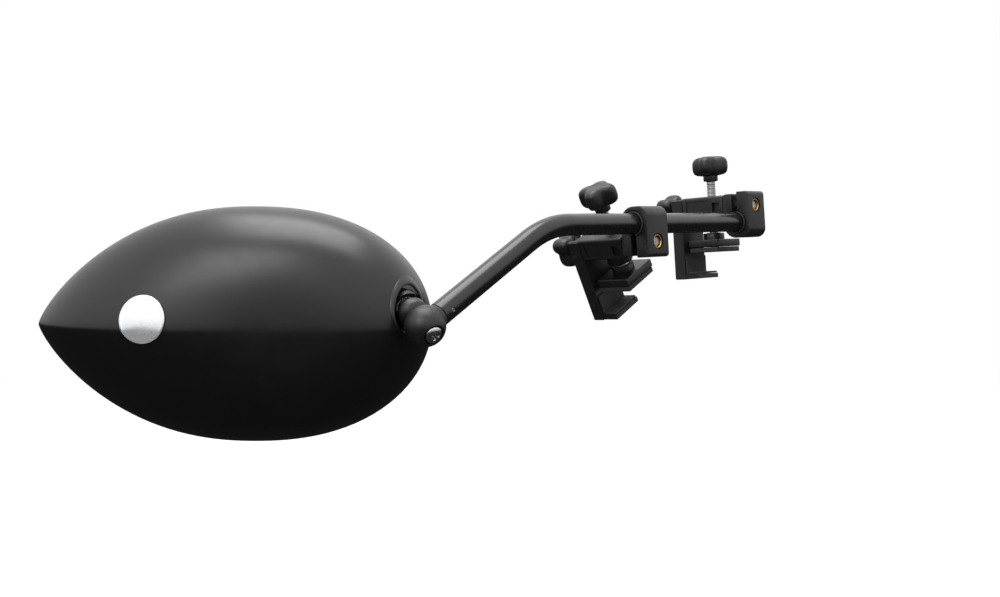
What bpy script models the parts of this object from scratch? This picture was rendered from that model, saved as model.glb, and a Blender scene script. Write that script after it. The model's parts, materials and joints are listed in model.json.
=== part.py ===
"""Clip-on towing mirror: head, ball joint, bent arm and two clamps, as separate solids.

Metres, +Z up.  X runs along the arm's straight section (inboard +), Y to the rear of the car.
The origin is on the bearing face of the inner clamp's hook rubber.
"""
import math

import bmesh
import bpy
from mathutils import Matrix, Vector

MM = 0.001
GAP = 0.3 * MM

# Arm: a bent round tube
TUBE_RADIUS = 8.0 * MM
TUBE_WALL = 1.5 * MM
ARM_DROP = math.radians(28.0)
BEND_VERTEX_X = 94.0 * MM
BEND_RADIUS = 92.0 * MM
ARM_END_X = -23.7 * MM
TUBE_INNER_END_X = 364.0 * MM

# Clamps
INNER_CLAMP_X = 353.0 * MM
OUTER_CLAMP_X = 207.0 * MM
CLAMP_PITCH = math.radians(-4.0)
OUTER_LEAN = math.radians(-25.0)
BOLT_OFFSET = 14.3 * MM
COLLAR_WIDTH = 27.0 * MM
COLLAR_RADIUS = 13.3 * MM
LINER_RADIUS = 9.4 * MM
BODY_FRONT = 12.0 * MM
BODY_REAR = 55.0 * MM
BODY_SIDE = (-13.0 * MM, 21.0 * MM)
BODY_HEIGHT = (-8.0 * MM, 10.0 * MM)
BOSS_BOTTOM = -20.0 * MM
PLATE_REAR = 66.0 * MM
PLATE_WEB = 4.5 * MM
HOOK_BOTTOM = -62.0 * MM
RUBBER_TOP = -41.0 * MM
SCREW_RADIUS = 3.9 * MM
HOLE_RADIUS = 4.3 * MM
PRESS_AXIS = Vector((10.0 * MM, 37.5 * MM, 0.0))
PRESS_BALL_Z = -25.0 * MM
PRESS_BALL_RADIUS = 5.5 * MM
PAD_SIZE = (37.4 * MM, 30.0 * MM)
PAD_BOTTOM = -38.8 * MM
KNOB_RADIUS = 16.3 * MM
PRESS_KNOB_Z = 24.7 * MM

# Knuckle and ball
CAP_RADIUS = 13.4 * MM
NECK_AXIS = Vector((0.16, 0.885, 0.435)).normalized()
CAP_TO_BALL = 30.7 * MM
BALL_RADIUS = 6.5 * MM
STUD_RADIUS = 9.9 * MM

# Head
HEAD_RIGHT = Vector((0.6871, -0.7266, 0.0))
HEAD_FRONT = Vector((-0.7266, -0.6871, 0.0))
BALL_IN_HEAD = Vector((114.0, 16.3, 25.0)) * MM
HEAD_TIP = -131.9 * MM
HEAD_END = 131.9 * MM
HEAD_WIDEST = 12.0 * MM
HEAD_HALF_HEIGHT = 78.6 * MM
HEAD_DEPTH = 52.0 * MM
SHELL_WALL = 2.5 * MM
CRATER_RADIUS = 12.4 * MM
SOCKET_RADIUS = 9.6 * MM
BADGE_RADIUS = 15.3 * MM
BADGE_CENTRE = (-48.5 * MM, 7.0 * MM)

COLOURS = {
    "moulded_plastic": ((0.018, 0.020, 0.020), 0.5, 0.0),
    "shell_plastic": ((0.022, 0.024, 0.025), 0.35, 0.0),
    "tube_paint": ((0.015, 0.016, 0.017), 0.25, 0.0),
    "rubber": ((0.012, 0.012, 0.012), 0.85, 0.0),
    "nylon": ((0.55, 0.53, 0.48), 0.5, 0.0),
    "zinc": ((0.62, 0.60, 0.54), 0.35, 1.0),
    "brass": ((0.78, 0.56, 0.22), 0.3, 1.0),
    "stainless": ((0.70, 0.67, 0.62), 0.25, 1.0),
    "badge": ((0.80, 0.81, 0.81), 0.35, 0.2),
    "mirror": ((0.86, 0.88, 0.90), 0.03, 1.0),
}


def make_materials():
    """One Principled material for each finish."""
    made = {}
    for name, (colour, roughness, metallic) in COLOURS.items():
        material = bpy.data.materials.new(name)
        material.use_nodes = True
        shader = material.node_tree.nodes["Principled BSDF"]
        shader.inputs["Base Color"].default_value = (*colour, 1.0)
        shader.inputs["Roughness"].default_value = roughness
        shader.inputs["Metallic"].default_value = metallic
        made[name] = material
    return made


def add_object(name, bm, finish, place=None, sharp=35.0):
    """Turn a bmesh into a named object with outward faces and smooth round sides."""
    bmesh.ops.recalc_face_normals(bm, faces=bm.faces)
    mesh = bpy.data.meshes.new(name)
    bm.to_mesh(mesh)
    bm.free()
    if place is not None:
        mesh.transform(place)
    mesh.shade_smooth()
    mesh.set_sharp_from_angle(angle=math.radians(sharp))
    made = bpy.data.objects.new(name, mesh)
    bpy.context.collection.objects.link(made)
    if finish:
        made.data.materials.append(MATERIALS[finish])
    return made


def turned(profile, segments=18):
    """Solid of revolution about Z from (radius, height) points.

    A profile that starts and ends on the axis makes a full solid; any other one is a closed ring.
    """
    bm = bmesh.new()
    rings = []
    for radius, height in profile:
        if radius < 1e-7:
            rings.append([bm.verts.new((0.0, 0.0, height))])
            continue
        ring = []
        for step in range(segments):
            angle = 2.0 * math.pi * step / segments
            ring.append(bm.verts.new((radius * math.cos(angle), radius * math.sin(angle), height)))
        rings.append(ring)
    closed = len(rings[0]) > 1
    pairs = list(zip(rings, rings[1:] + rings[:1])) if closed else list(zip(rings, rings[1:]))
    for first, second in pairs:
        join_rings(bm, first, second)
    return bm


def join_rings(bm, first, second):
    """Faces between two rings of points, either of which may be a single pole."""
    count = max(len(first), len(second))
    for step in range(count):
        after = (step + 1) % count
        corners = [first[step % len(first)], first[after % len(first)],
                   second[after % len(second)], second[step % len(second)]]
        unique = list(dict.fromkeys(corners))
        if len(unique) > 2:
            bm.faces.new(unique)


def arc(centre, radius, start, end, steps):
    """Points on an arc, angles in degrees."""
    points = []
    for step in range(steps + 1):
        angle = math.radians(start + (end - start) * step / steps)
        points.append((centre[0] + radius * math.cos(angle), centre[1] + radius * math.sin(angle)))
    return points


def extruded(outline, low, high):
    """Straight extrusion along Z of a closed outline of (x, y) points."""
    bm = bmesh.new()
    base = [bm.verts.new((x, y, low)) for x, y in outline]
    top = [bm.verts.new((x, y, high)) for x, y in outline]
    bm.faces.new(base)
    bm.faces.new(top)
    join_rings(bm, base, top)
    return bm


def block(low, high):
    """A plain box between two corners."""
    outline = [(low[0], low[1]), (high[0], low[1]), (high[0], high[1]), (low[0], high[1])]
    return extruded(outline, low[2], high[2])


def aim(axis, point=Vector((0.0, 0.0, 0.0))):
    """Matrix that turns +Z onto an axis and moves the origin to a point."""
    return Matrix.Translation(point) @ Vector((0.0, 0.0, 1.0)).rotation_difference(axis).to_matrix().to_4x4()


def cut(piece, cutter):
    """Subtract a hidden cutter from a piece."""
    cutter.hide_render = True
    cutter.display_type = "WIRE"
    modifier = piece.modifiers.new("cut_" + cutter.name, "BOOLEAN")
    modifier.operation = "DIFFERENCE"
    modifier.solver = "EXACT"
    modifier.object = cutter


def soften(piece, width, segments=1):
    """Rounded edges."""
    modifier = piece.modifiers.new("soft_edges", "BEVEL")
    modifier.width = width
    modifier.segments = segments
    modifier.limit_method = "ANGLE"
    modifier.angle_limit = math.radians(40.0)


def hang(name, place, pieces):
    """Parent pieces, which stay where they are, to an empty on the axis that they move about."""
    pivot = bpy.data.objects.new(name, None)
    bpy.context.collection.objects.link(pivot)
    pivot.matrix_world = place
    for piece in pieces:
        piece.parent = pivot
        piece.matrix_parent_inverse = place.inverted()


def named(*names):
    """The pieces of these names."""
    return [bpy.data.objects[name] for name in names]


def weld(piece):
    """Join the points that the cuts and rounded edges left almost touching."""
    modifier = piece.modifiers.new("weld", "WELD")
    modifier.merge_threshold = 0.03 * MM


def rod(name, radius, low, high, finish, place, segments=18):
    """A plain round bar along Z."""
    chamfer = 0.12 * radius
    profile = [(0.0, low), (radius - chamfer, low), (radius, low + chamfer),
               (radius, high - chamfer), (radius - chamfer, high), (0.0, high)]
    return add_object(name, turned(profile, segments), finish, place)


def hole(name, radius, low, high, place, segments=18):
    """A round cutter along Z."""
    profile = [(0.0, low), (radius, low), (radius, high), (0.0, high)]
    return add_object(name, turned(profile, segments), None, place)


def lobed_knob(name, place):
    """Four-lobed hand knob standing on its hub, which starts at height 0."""
    hub = 6.4 * MM
    levels = [(0.0, hub * 0.9, 0.0), (1.0, hub, 0.0), (5.0, hub, 0.0), (5.6, 0.76, 1.0), (7.6, 0.94, 1.0),
              (11.0, 1.0, 1.0), (16.0, 1.0, 1.0), (19.5, 0.92, 1.0), (21.4, 0.74, 1.0), (22.0, 0.5, 0.7)]
    bm = bmesh.new()
    rings = []
    for height, size, lobed in levels:
        ring = []
        for step in range(28):
            angle = 2.0 * math.pi * step / 28
            lobe = 0.5 + 0.5 * math.cos(4.0 * angle)
            radius = size
            if lobed:
                radius = KNOB_RADIUS * size * (1.0 - 0.34 * lobed * (1.0 - lobe) ** 1.2)
            ring.append(bm.verts.new((radius * math.cos(angle), radius * math.sin(angle), height * MM)))
        rings.append(ring)
    for first, second in zip(rings, rings[1:]):
        join_rings(bm, first, second)
    for ring, height in ((rings[0], 0.0), (rings[-1], 21.7 * MM)):
        join_rings(bm, [bm.verts.new((0.0, 0.0, height))], ring)
    return add_object(name, bm, "moulded_plastic", place)


def hollow_knob(name, bore_depth, place):
    """A lobed knob with a blind bore for its screw."""
    knob = lobed_knob(name, place)
    cut(knob, hole(name + "_bore_cutter", SCREW_RADIUS + GAP, -1.0 * MM, bore_depth, place))
    weld(knob)
    return knob


# Arm

def arm_route():
    """Centreline of the tube, from the inner end to the end cap, in the plane Y = 0."""
    tangent = BEND_RADIUS * math.tan(ARM_DROP / 2.0)
    points = [Vector((TUBE_INNER_END_X, 0.0, 0.0))]
    centre = Vector((BEND_VERTEX_X + tangent, 0.0, -BEND_RADIUS))
    for step in range(8):
        angle = ARM_DROP * step / 7
        points.append(centre + BEND_RADIUS * Vector((-math.sin(angle), 0.0, math.cos(angle))))
    end = arm_end() + 12.7 * MM * tube_direction()
    points.append(end)
    return points


def tube_direction():
    """Unit vector from the end cap up along the tube's outer section."""
    return Vector((math.cos(ARM_DROP), 0.0, math.sin(ARM_DROP)))


def arm_end():
    """Centre of the round end cap."""
    return Vector((ARM_END_X, 0.0, -(BEND_VERTEX_X - ARM_END_X) * math.tan(ARM_DROP)))


def swept_tube(points, outer, inner, segments=20):
    """Hollow tube along a route that lies in the plane Y = 0."""
    bm = bmesh.new()
    walls = []
    for radius in (outer, inner):
        rings = []
        for index, point in enumerate(points):
            before = points[max(index - 1, 0)]
            after = points[min(index + 1, len(points) - 1)]
            along = (after - before).normalized()
            side = Vector((0.0, 1.0, 0.0))
            up = along.cross(side)
            ring = []
            for step in range(segments):
                angle = 2.0 * math.pi * step / segments
                ring.append(bm.verts.new(point + radius * (math.cos(angle) * side + math.sin(angle) * up)))
            rings.append(ring)
        for first, second in zip(rings, rings[1:]):
            join_rings(bm, first, second)
        walls.append(rings)
    join_rings(bm, walls[0][0], walls[1][0])
    join_rings(bm, walls[0][-1], walls[1][-1])
    return bm


def make_arm(base):
    """Tube, end cap with its cross pin, and the plug in the tube's inner end."""
    inner_radius = TUBE_RADIUS - TUBE_WALL
    tube = add_object("arm_tube", swept_tube(arm_route(), TUBE_RADIUS, inner_radius), "tube_paint", base)
    inward = Matrix.Translation((TUBE_INNER_END_X, 0.0, 0.0)) @ Matrix.Rotation(math.pi / 2.0, 4, "Y")
    plug = [(0.0, -12.0 * MM), (5.4 * MM, -12.0 * MM), (6.1 * MM, -9.0 * MM), (6.1 * MM, GAP),
            (7.9 * MM, GAP), (7.9 * MM, 1.2 * MM), (7.0 * MM, 2.1 * MM), (0.0, 2.3 * MM)]
    add_object("arm_end_plug", turned(plug), "moulded_plastic", base @ inward)

    to_tube = aim(tube_direction(), arm_end())
    spigot = 6.2 * MM
    start = math.degrees(math.acos(spigot / CAP_RADIUS))
    profile = arc((0.0, 0.0), CAP_RADIUS, -90.0, start - 12.0, 9)
    profile += [(8.0 * MM, 12.4 * MM), (spigot, 12.4 * MM), (spigot, 27.0 * MM), (5.2 * MM, 28.0 * MM), (0.0, 28.0 * MM)]
    cap = add_object("arm_end_cap", turned(profile, 26), "moulded_plastic", base @ to_tube)
    neck = base @ aim(NECK_AXIS, arm_end())
    cut(cap, hole("pivot_cutter", 3.3 * MM, -20.0 * MM, 20.0 * MM, neck))
    cut(cap, hole("screw_head_cutter", 6.6 * MM, -20.0 * MM, -8.9 * MM, neck))
    cut(cap, hole("stud_seat_cutter", 14.0 * MM, 8.7 * MM, 20.0 * MM, neck, 26))
    pin_place = base @ aim(Vector((0.0, 1.0, 0.0)), arm_end() + 20.0 * MM * tube_direction())
    pin_hole = hole("pin_cutter", 1.8 * MM, -12.0 * MM, 12.0 * MM, pin_place, 16)
    cut(cap, pin_hole)
    weld(cap)
    cut(tube, pin_hole)
    rod("end_cap_pin", 1.5 * MM, -7.6 * MM, 7.6 * MM, "stainless", pin_place, 16)


def make_knuckle(base):
    """Ball stud, pivot screw with washer, and friction washer."""
    place = base @ aim(NECK_AXIS, arm_end())
    neck = 4.3 * MM
    ball = arc((0.0, CAP_TO_BALL), BALL_RADIUS, -48.6, 90.0, 7)
    profile = [(3.6 * MM, 10.2 * MM), (7.3 * MM, 10.2 * MM), (STUD_RADIUS, 14.2 * MM),
               (STUD_RADIUS, 19.0 * MM), (9.2 * MM, 20.8 * MM), (7.0 * MM, 21.8 * MM), (neck, 22.4 * MM)]
    profile += ball
    profile = [(0.0, 20.5 * MM), (3.6 * MM, 20.5 * MM)] + profile
    profile[-1] = (0.0, CAP_TO_BALL + BALL_RADIUS)
    add_object("ball_stud", turned(profile, 24), "moulded_plastic", place)
    ring = [(3.5 * MM, 9.0 * MM), (7.2 * MM, 9.0 * MM), (7.2 * MM, 9.9 * MM), (3.5 * MM, 9.9 * MM)]
    add_object("friction_washer", turned(ring), "nylon", place)
    head = [(0.0, 19.5 * MM), (3.0 * MM, 19.5 * MM), (3.0 * MM, -9.2 * MM), (5.9 * MM, -9.2 * MM),
            (5.9 * MM, -10.0 * MM), (5.4 * MM, -11.4 * MM), (4.2 * MM, -12.6 * MM), (2.6 * MM, -13.3 * MM),
            (0.0, -13.6 * MM)]
    screw = add_object("pivot_screw", turned(head), "stainless", place)
    slot = add_object("cross_slot_a", block((-3.0 * MM, -0.6 * MM, -15.0 * MM), (3.0 * MM, 0.6 * MM, -11.9 * MM)),
                      None, place)
    other = add_object("cross_slot_b", block((-0.6 * MM, -3.0 * MM, -15.0 * MM), (0.6 * MM, 3.0 * MM, -11.9 * MM)),
                       None, place)
    cut(screw, slot)
    cut(screw, other)


# Head

def half_height(along):
    """Half height of the head's outline at a place along its long axis."""
    if along > HEAD_WIDEST:
        reach = min((along - HEAD_WIDEST) / (HEAD_END - HEAD_WIDEST), 1.0)
        return HEAD_HALF_HEIGHT * (1.0 - reach ** 2.3) ** 0.5
    reach = min((HEAD_WIDEST - along) / (HEAD_WIDEST - HEAD_TIP), 1.0)
    return HEAD_HALF_HEIGHT * (1.0 - reach ** 2.2) ** 0.78


def outline_point(angle):
    """Where a ray from the widest point meets the head's outline."""
    direction = (math.cos(angle), math.sin(angle))
    low, high = 0.0, 0.16
    for _ in range(40):
        middle = 0.5 * (low + high)
        along = HEAD_WIDEST + middle * direction[0]
        inside = HEAD_TIP < along < HEAD_END and abs(middle * direction[1]) < half_height(along)
        low, high = (middle, high) if inside else (low, middle)
    return (HEAD_WIDEST + low * direction[0], low * direction[1])


def bulge(radial, angle, upward):
    """Depth of the shell over the rim plane: full at the ball end, finer towards the tip."""
    tip_share = 0.5 - 0.5 * math.cos(angle)
    power = 6.0 - 3.6 * tip_share ** 0.5
    root = 0.5 + 0.16 * tip_share
    ridge = 0.16 * (math.hypot(upward, 3.0 * MM) - 3.0 * MM)
    return max((HEAD_DEPTH - ridge) * (1.0 - radial ** power), 0.0) ** root * HEAD_DEPTH ** (1.0 - root)


def head_skin(shrink, drop, rings, spokes, rim_level):
    """Grid of points over the head: outline shrunk by a distance, depth lowered by another."""
    skin = []
    for ring in range(rings + 1):
        radial = math.sin(0.5 * math.pi * ring / rings)
        row = []
        for spoke in range(spokes):
            angle = 2.0 * math.pi * spoke / spokes
            edge_x, edge_y = outline_point(angle)
            reach = math.hypot(edge_x - HEAD_WIDEST, edge_y)
            scale = (reach - shrink) / reach * radial
            x = HEAD_WIDEST + (edge_x - HEAD_WIDEST) * scale
            y = edge_y * scale
            depth = max(bulge(radial, angle, y) - drop, rim_level)
            row.append((x, y, depth))
            if ring == 0:
                break
        skin.append(row)
    return skin


def add_rows(bm, rows):
    """Make the points and faces of a grid of rows; gives back its rings of points."""
    rings = [[bm.verts.new(point) for point in row] for row in rows]
    for first, second in zip(rings, rings[1:]):
        join_rings(bm, first, second)
    return rings


def head_matrix(base):
    """Head frame: X along the head, Y up, Z out of the shell's back towards the front of the car."""
    ball = arm_end() + CAP_TO_BALL * NECK_AXIS
    up = Vector((0.0, 0.0, 1.0))
    centre = ball - BALL_IN_HEAD.x * HEAD_RIGHT - BALL_IN_HEAD.y * up - BALL_IN_HEAD.z * HEAD_FRONT
    turn = Matrix((HEAD_RIGHT, up, HEAD_FRONT)).transposed().to_4x4()
    return base @ Matrix.Translation(centre) @ turn


def slab(name, shrink, low, high, finish, place, crown=0.0):
    """A plate with the head's outline, flat behind and with a slightly crowned rear face."""
    bm = bmesh.new()
    rows = []
    for level, depth in ((0.0, low - crown), (0.5, low - crown * 0.75), (1.0, low)):
        rows.append(plate_row(shrink, level, depth))
    for level, depth in ((1.0, high), (0.5, high - crown * 0.75), (0.0, high - crown)):
        rows.append(plate_row(shrink, level, depth))
    add_rows(bm, rows)
    return add_object(name, bm, finish, place)


def plate_row(shrink, level, depth):
    """One ring of a plate's points."""
    if level == 0.0:
        return [(HEAD_WIDEST, 0.0, depth)]
    row = []
    for spoke in range(48):
        edge_x, edge_y = outline_point(2.0 * math.pi * spoke / 48)
        reach = math.hypot(edge_x - HEAD_WIDEST, edge_y)
        scale = (reach - shrink) / reach * level
        row.append((HEAD_WIDEST + (edge_x - HEAD_WIDEST) * scale, edge_y * scale, depth))
    return row


def make_head(base):
    """Shell, badge, glass with its carrier and gasket, and the ball socket."""
    place = head_matrix(base)
    bm = bmesh.new()
    outer = add_rows(bm, head_skin(0.0, 0.0, 10, 48, 0.0))
    inner = add_rows(bm, head_skin(SHELL_WALL, SHELL_WALL, 8, 48, 0.0))
    join_rings(bm, outer[-1], inner[-1])
    shell = add_object("head_shell", bm, "shell_plastic", place, 50.0)
    neck = base @ aim(-NECK_AXIS, arm_end() + CAP_TO_BALL * NECK_AXIS)
    cut(shell, hole("crater_cutter", CRATER_RADIUS, 1.0 * MM, 25.0 * MM, neck, 28))
    cut(shell, hole("socket_pocket_cutter", SOCKET_RADIUS + GAP, -12.0 * MM, 5.6 * MM, neck, 24))

    badge = add_object("badge_disc", badge_skin(), "badge", place, 50.0)

    glass = slab("mirror_glass", 6.5 * MM, 0.8 * MM, 2.6 * MM, "mirror", place)
    carrier = slab("glass_carrier", 7.6 * MM, 2.9 * MM, 4.6 * MM, "moulded_plastic", place)
    bm = bmesh.new()
    rows = [plate_row(5.0 * MM, 1.0, 0.3 * MM), plate_row(6.2 * MM, 1.0, 0.3 * MM),
            plate_row(6.2 * MM, 1.0, 3.0 * MM), plate_row(5.0 * MM, 1.0, 3.0 * MM)]
    rings = add_rows(bm, rows)
    join_rings(bm, rings[-1], rings[0])
    gasket = add_object("glass_gasket", bm, "rubber", place)
    pieces = [shell, badge, glass, carrier, gasket] + make_socket(neck)
    hang("head_pivot", neck, pieces)


def make_socket(neck):
    """Cup, ball seat and screwed retainer, returned; heights run from the ball towards the end cap."""
    cavity = 8.3 * MM
    cup = [(SOCKET_RADIUS, -3.0 * MM), (SOCKET_RADIUS, 5.3 * MM), (7.2 * MM, 5.3 * MM)]
    cup += arc((0.0, 0.0), cavity, 36.0, -21.0, 5)
    cup = add_object("socket_cup", turned(cup, 24), "moulded_plastic", neck)
    seat = arc((0.0, 0.0), 8.0 * MM, 34.0, -70.0, 7) + arc((0.0, 0.0), 6.8 * MM, -70.0, 36.0, 7)
    seat = add_object("ball_seat", turned(seat, 20), "nylon", neck)
    low = arc((0.0, 0.0), cavity, -68.0, -26.0, 3)
    retainer = [(low[0][0], -10.4 * MM)] + low + [(SOCKET_RADIUS, -3.6 * MM), (SOCKET_RADIUS, -10.4 * MM)]
    return [cup, seat, add_object("socket_retainer", turned(retainer, 24), "moulded_plastic", neck)]


def shell_level(x, y):
    """Height of the shell's outer face over the rim plane at a point of the head frame."""
    angle = math.atan2(y, x - HEAD_WIDEST)
    edge_x, edge_y = outline_point(angle)
    radial = math.hypot(x - HEAD_WIDEST, y) / math.hypot(edge_x - HEAD_WIDEST, edge_y)
    return bulge(min(radial, 1.0), angle, y)


def badge_skin():
    """Thin round disc that follows the shell's face."""
    bm = bmesh.new()
    rows = []
    for lift, shares in ((0.6 * MM, (0.0, 0.5, 1.0)), (1.6 * MM, (0.97, 0.5, 0.0))):
        for share in shares:
            row = []
            for spoke in range(28):
                angle = 2.0 * math.pi * spoke / 28
                x = BADGE_CENTRE[0] + share * BADGE_RADIUS * math.cos(angle)
                y = BADGE_CENTRE[1] + share * BADGE_RADIUS * math.sin(angle)
                row.append((x, y, shell_level(x, y) + lift))
            rows.append(row if share else row[:1])
    add_rows(bm, rows)
    return bm


# Clamps

def make_collar(prefix, place):
    """Collar that wraps the tube, its brass insert and the grip liner; the tube is above the bolt."""
    across = place @ Matrix(((0, 0, 1, 0), (1, 0, 0, 0), (0, 1, 0, 0), (0, 0, 0, 1)))
    half = COLLAR_WIDTH / 2.0
    bore = LINER_RADIUS + GAP
    low_slot, high_slot = -2.0 * MM, 3.0 * MM
    inner_start = math.degrees(math.atan2(-math.sqrt(bore ** 2 - high_slot ** 2), high_slot))
    inner_end = math.degrees(math.atan2(-math.sqrt(bore ** 2 - low_slot ** 2), low_slot)) + 360.0
    rear = 11.7 * MM
    round_rear = 11.4 * MM
    outline = arc((rear - round_rear, BOLT_OFFSET + COLLAR_RADIUS - round_rear), round_rear, 0.0, 90.0, 6)
    outline += arc((-COLLAR_RADIUS + 8.0 * MM, BOLT_OFFSET + COLLAR_RADIUS - 8.0 * MM), 8.0 * MM, 90.0, 180.0, 4)
    outline += arc((-COLLAR_RADIUS + 3.0 * MM, -9.0 * MM), 3.0 * MM, 180.0, 270.0, 3)
    outline += [(low_slot, -12.0 * MM)]
    outline += list(reversed(arc((0.0, BOLT_OFFSET), bore, inner_start, inner_end, 18)))
    outline += [(high_slot, -10.5 * MM), (rear - 3.0 * MM, -10.5 * MM), (rear, -7.5 * MM)]
    collar = add_object(prefix + "_collar", extruded(outline, -half, half), "moulded_plastic", across)
    soften(collar, 1.0 * MM)
    along_bolt = place @ aim(Vector((0.0, 1.0, 0.0)))
    cut(collar, hole(prefix + "_bolt_cutter_a", HOLE_RADIUS, -20.0 * MM, 20.0 * MM, along_bolt))
    cut(collar, hole(prefix + "_insert_cutter", 6.2 * MM, -20.0 * MM, -3.5 * MM, along_bolt))
    weld(collar)
    ring = [(4.2 * MM, -12.6 * MM), (5.3 * MM, -12.6 * MM), (5.9 * MM, -12.0 * MM), (5.9 * MM, -4.4 * MM),
            (4.2 * MM, -4.4 * MM)]
    add_object(prefix + "_brass_insert", turned(ring), "brass", along_bolt)

    split = arc((0.0, BOLT_OFFSET), LINER_RADIUS, -78.0, 258.0, 18)
    split += arc((0.0, BOLT_OFFSET), TUBE_RADIUS + GAP, 258.0, -78.0, 18)
    add_object(prefix + "_grip_liner", extruded(split, -half - 0.8 * MM, half + 0.8 * MM), "rubber", across)


def make_body(prefix, place):
    """Clamp body with its press boss, thread insert, hook plate, plate screws and hook rubber."""
    low_u, high_u = BODY_SIDE
    low_w, high_w = BODY_HEIGHT
    body = add_object(prefix + "_clamp_body",
                      block((low_u, BODY_FRONT, low_w), (high_u, BODY_REAR, high_w)), "moulded_plastic", place)
    soften(body, 2.0 * MM)
    press = place @ Matrix.Translation(PRESS_AXIS)
    boss = add_object(prefix + "_boss_guide", turned([(0.0, BOSS_BOTTOM), (9.7 * MM, BOSS_BOTTOM),
                      (10.3 * MM, BOSS_BOTTOM + 0.6 * MM), (10.3 * MM, 1.0 * MM), (0.0, 1.0 * MM)], 22), None, press)
    boss.hide_render = True
    boss.display_type = "WIRE"
    join = body.modifiers.new("boss", "BOOLEAN")
    join.operation = "UNION"
    join.solver = "EXACT"
    join.object = boss
    along_bolt = place @ aim(Vector((0.0, 1.0, 0.0)))
    bolt_hole = hole(prefix + "_bolt_cutter_b", HOLE_RADIUS, 5.0 * MM, 80.0 * MM, along_bolt)
    cut(body, bolt_hole)
    cut(body, hole(prefix + "_press_cutter", HOLE_RADIUS, -40.0 * MM, 20.0 * MM, press))
    cut(body, hole(prefix + "_press_insert_cutter", 6.2 * MM, -40.0 * MM, -11.7 * MM, press))
    pocket = block((low_u - 1.0 * MM, 16.0 * MM, -4.0 * MM), (low_u + 2.5 * MM, 23.0 * MM, 4.0 * MM))
    cut(body, add_object(prefix + "_pocket_cutter", pocket, None, place))
    weld(body)
    ring = [(4.2 * MM, BOSS_BOTTOM + 0.2 * MM), (5.9 * MM, BOSS_BOTTOM + 0.2 * MM), (5.9 * MM, -12.0 * MM),
            (4.2 * MM, -12.0 * MM)]
    add_object(prefix + "_press_insert", turned(ring), "brass", press)
    make_hook(prefix, place, bolt_hole)


def make_hook(prefix, place, bolt_hole):
    """Channel-shaped hook plate behind the body, its screws and the rubber on its lip."""
    low_u, high_u = BODY_SIDE
    front = BODY_REAR + GAP
    web = front + PLATE_WEB
    flange = 4.0 * MM
    outline = [(low_u, front), (high_u, front), (high_u, PLATE_REAR), (high_u - flange, PLATE_REAR),
               (high_u - flange, web), (low_u + flange, web), (low_u + flange, PLATE_REAR), (low_u, PLATE_REAR)]
    plate = add_object(prefix + "_hook_plate", extruded(outline, HOOK_BOTTOM, 9.0 * MM), "moulded_plastic", place)
    soften(plate, 0.9 * MM, 1)
    lip = add_object(prefix + "_lip_guide", block((low_u + 1.0 * MM, 42.0 * MM, HOOK_BOTTOM + 0.5 * MM),
                     (high_u - 1.0 * MM, web - 1.0 * MM, HOOK_BOTTOM + 4.5 * MM)), None, place)
    lip.hide_render = True
    lip.display_type = "WIRE"
    join = plate.modifiers.new("lip", "BOOLEAN")
    join.operation = "UNION"
    join.solver = "EXACT"
    join.object = lip
    cut(plate, bolt_hole)
    for number, side in enumerate((-1.0, 1.0), 1):
        spot = place @ aim(Vector((0.0, 1.0, 0.0)), Vector((13.3 * MM, web, 0.6 * MM + side * 5.0 * MM)))
        screw = [(0.0, -12.0 * MM), (1.5 * MM, -12.0 * MM), (1.5 * MM, GAP), (2.9 * MM, GAP), (2.9 * MM, 1.2 * MM),
                 (2.0 * MM, 2.0 * MM), (0.0, 2.2 * MM)]
        add_object(f"{prefix}_plate_screw_{number}", turned(screw, 14), "zinc", spot)
        screw_hole = hole(f"{prefix}_plate_screw_cutter_{number}", 1.8 * MM, -12.5 * MM, 5.0 * MM, spot, 14)
        cut(plate, screw_hole)
        cut(bpy.data.objects[prefix + "_clamp_body"], screw_hole)
    face = front - 1.7 * MM
    rest = HOOK_BOTTOM + 4.5 * MM
    outline = [(face, RUBBER_TOP), (face, rest + 1.9 * MM), (42.5 * MM, rest + 1.9 * MM),
               (42.5 * MM, rest + GAP), (front - GAP, rest + GAP), (front - GAP, RUBBER_TOP)]
    across = place @ Matrix(((0, 0, 1, 0), (1, 0, 0, 0), (0, 1, 0, 0), (0, 0, 0, 1)))
    add_object(prefix + "_hook_rubber", extruded(outline, low_u + 2.0 * MM, high_u - 2.0 * MM), "rubber", across)


def make_clamp_knob(prefix, place):
    """Rear knob, its long bolt into the brass insert, and the washer under it."""
    along_bolt = place @ aim(Vector((0.0, 1.0, 0.0)))
    washer_low = BODY_REAR + GAP + PLATE_WEB + GAP
    ring = [(4.4 * MM, washer_low), (7.5 * MM, washer_low), (7.5 * MM, washer_low + 1.4 * MM),
            (4.4 * MM, washer_low + 1.4 * MM)]
    add_object(prefix + "_bolt_washer", turned(ring), "zinc", along_bolt)
    rod(prefix + "_clamp_bolt", SCREW_RADIUS, -11.2 * MM, 76.0 * MM, "zinc", along_bolt)
    knob_start = washer_low + 1.4 * MM + GAP
    knob_place = along_bolt @ Matrix.Translation((0.0, 0.0, knob_start)) @ Matrix.Rotation(0.5, 4, "Z")
    hollow_knob(prefix + "_clamp_knob", 76.0 * MM + GAP - knob_start, knob_place)


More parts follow.
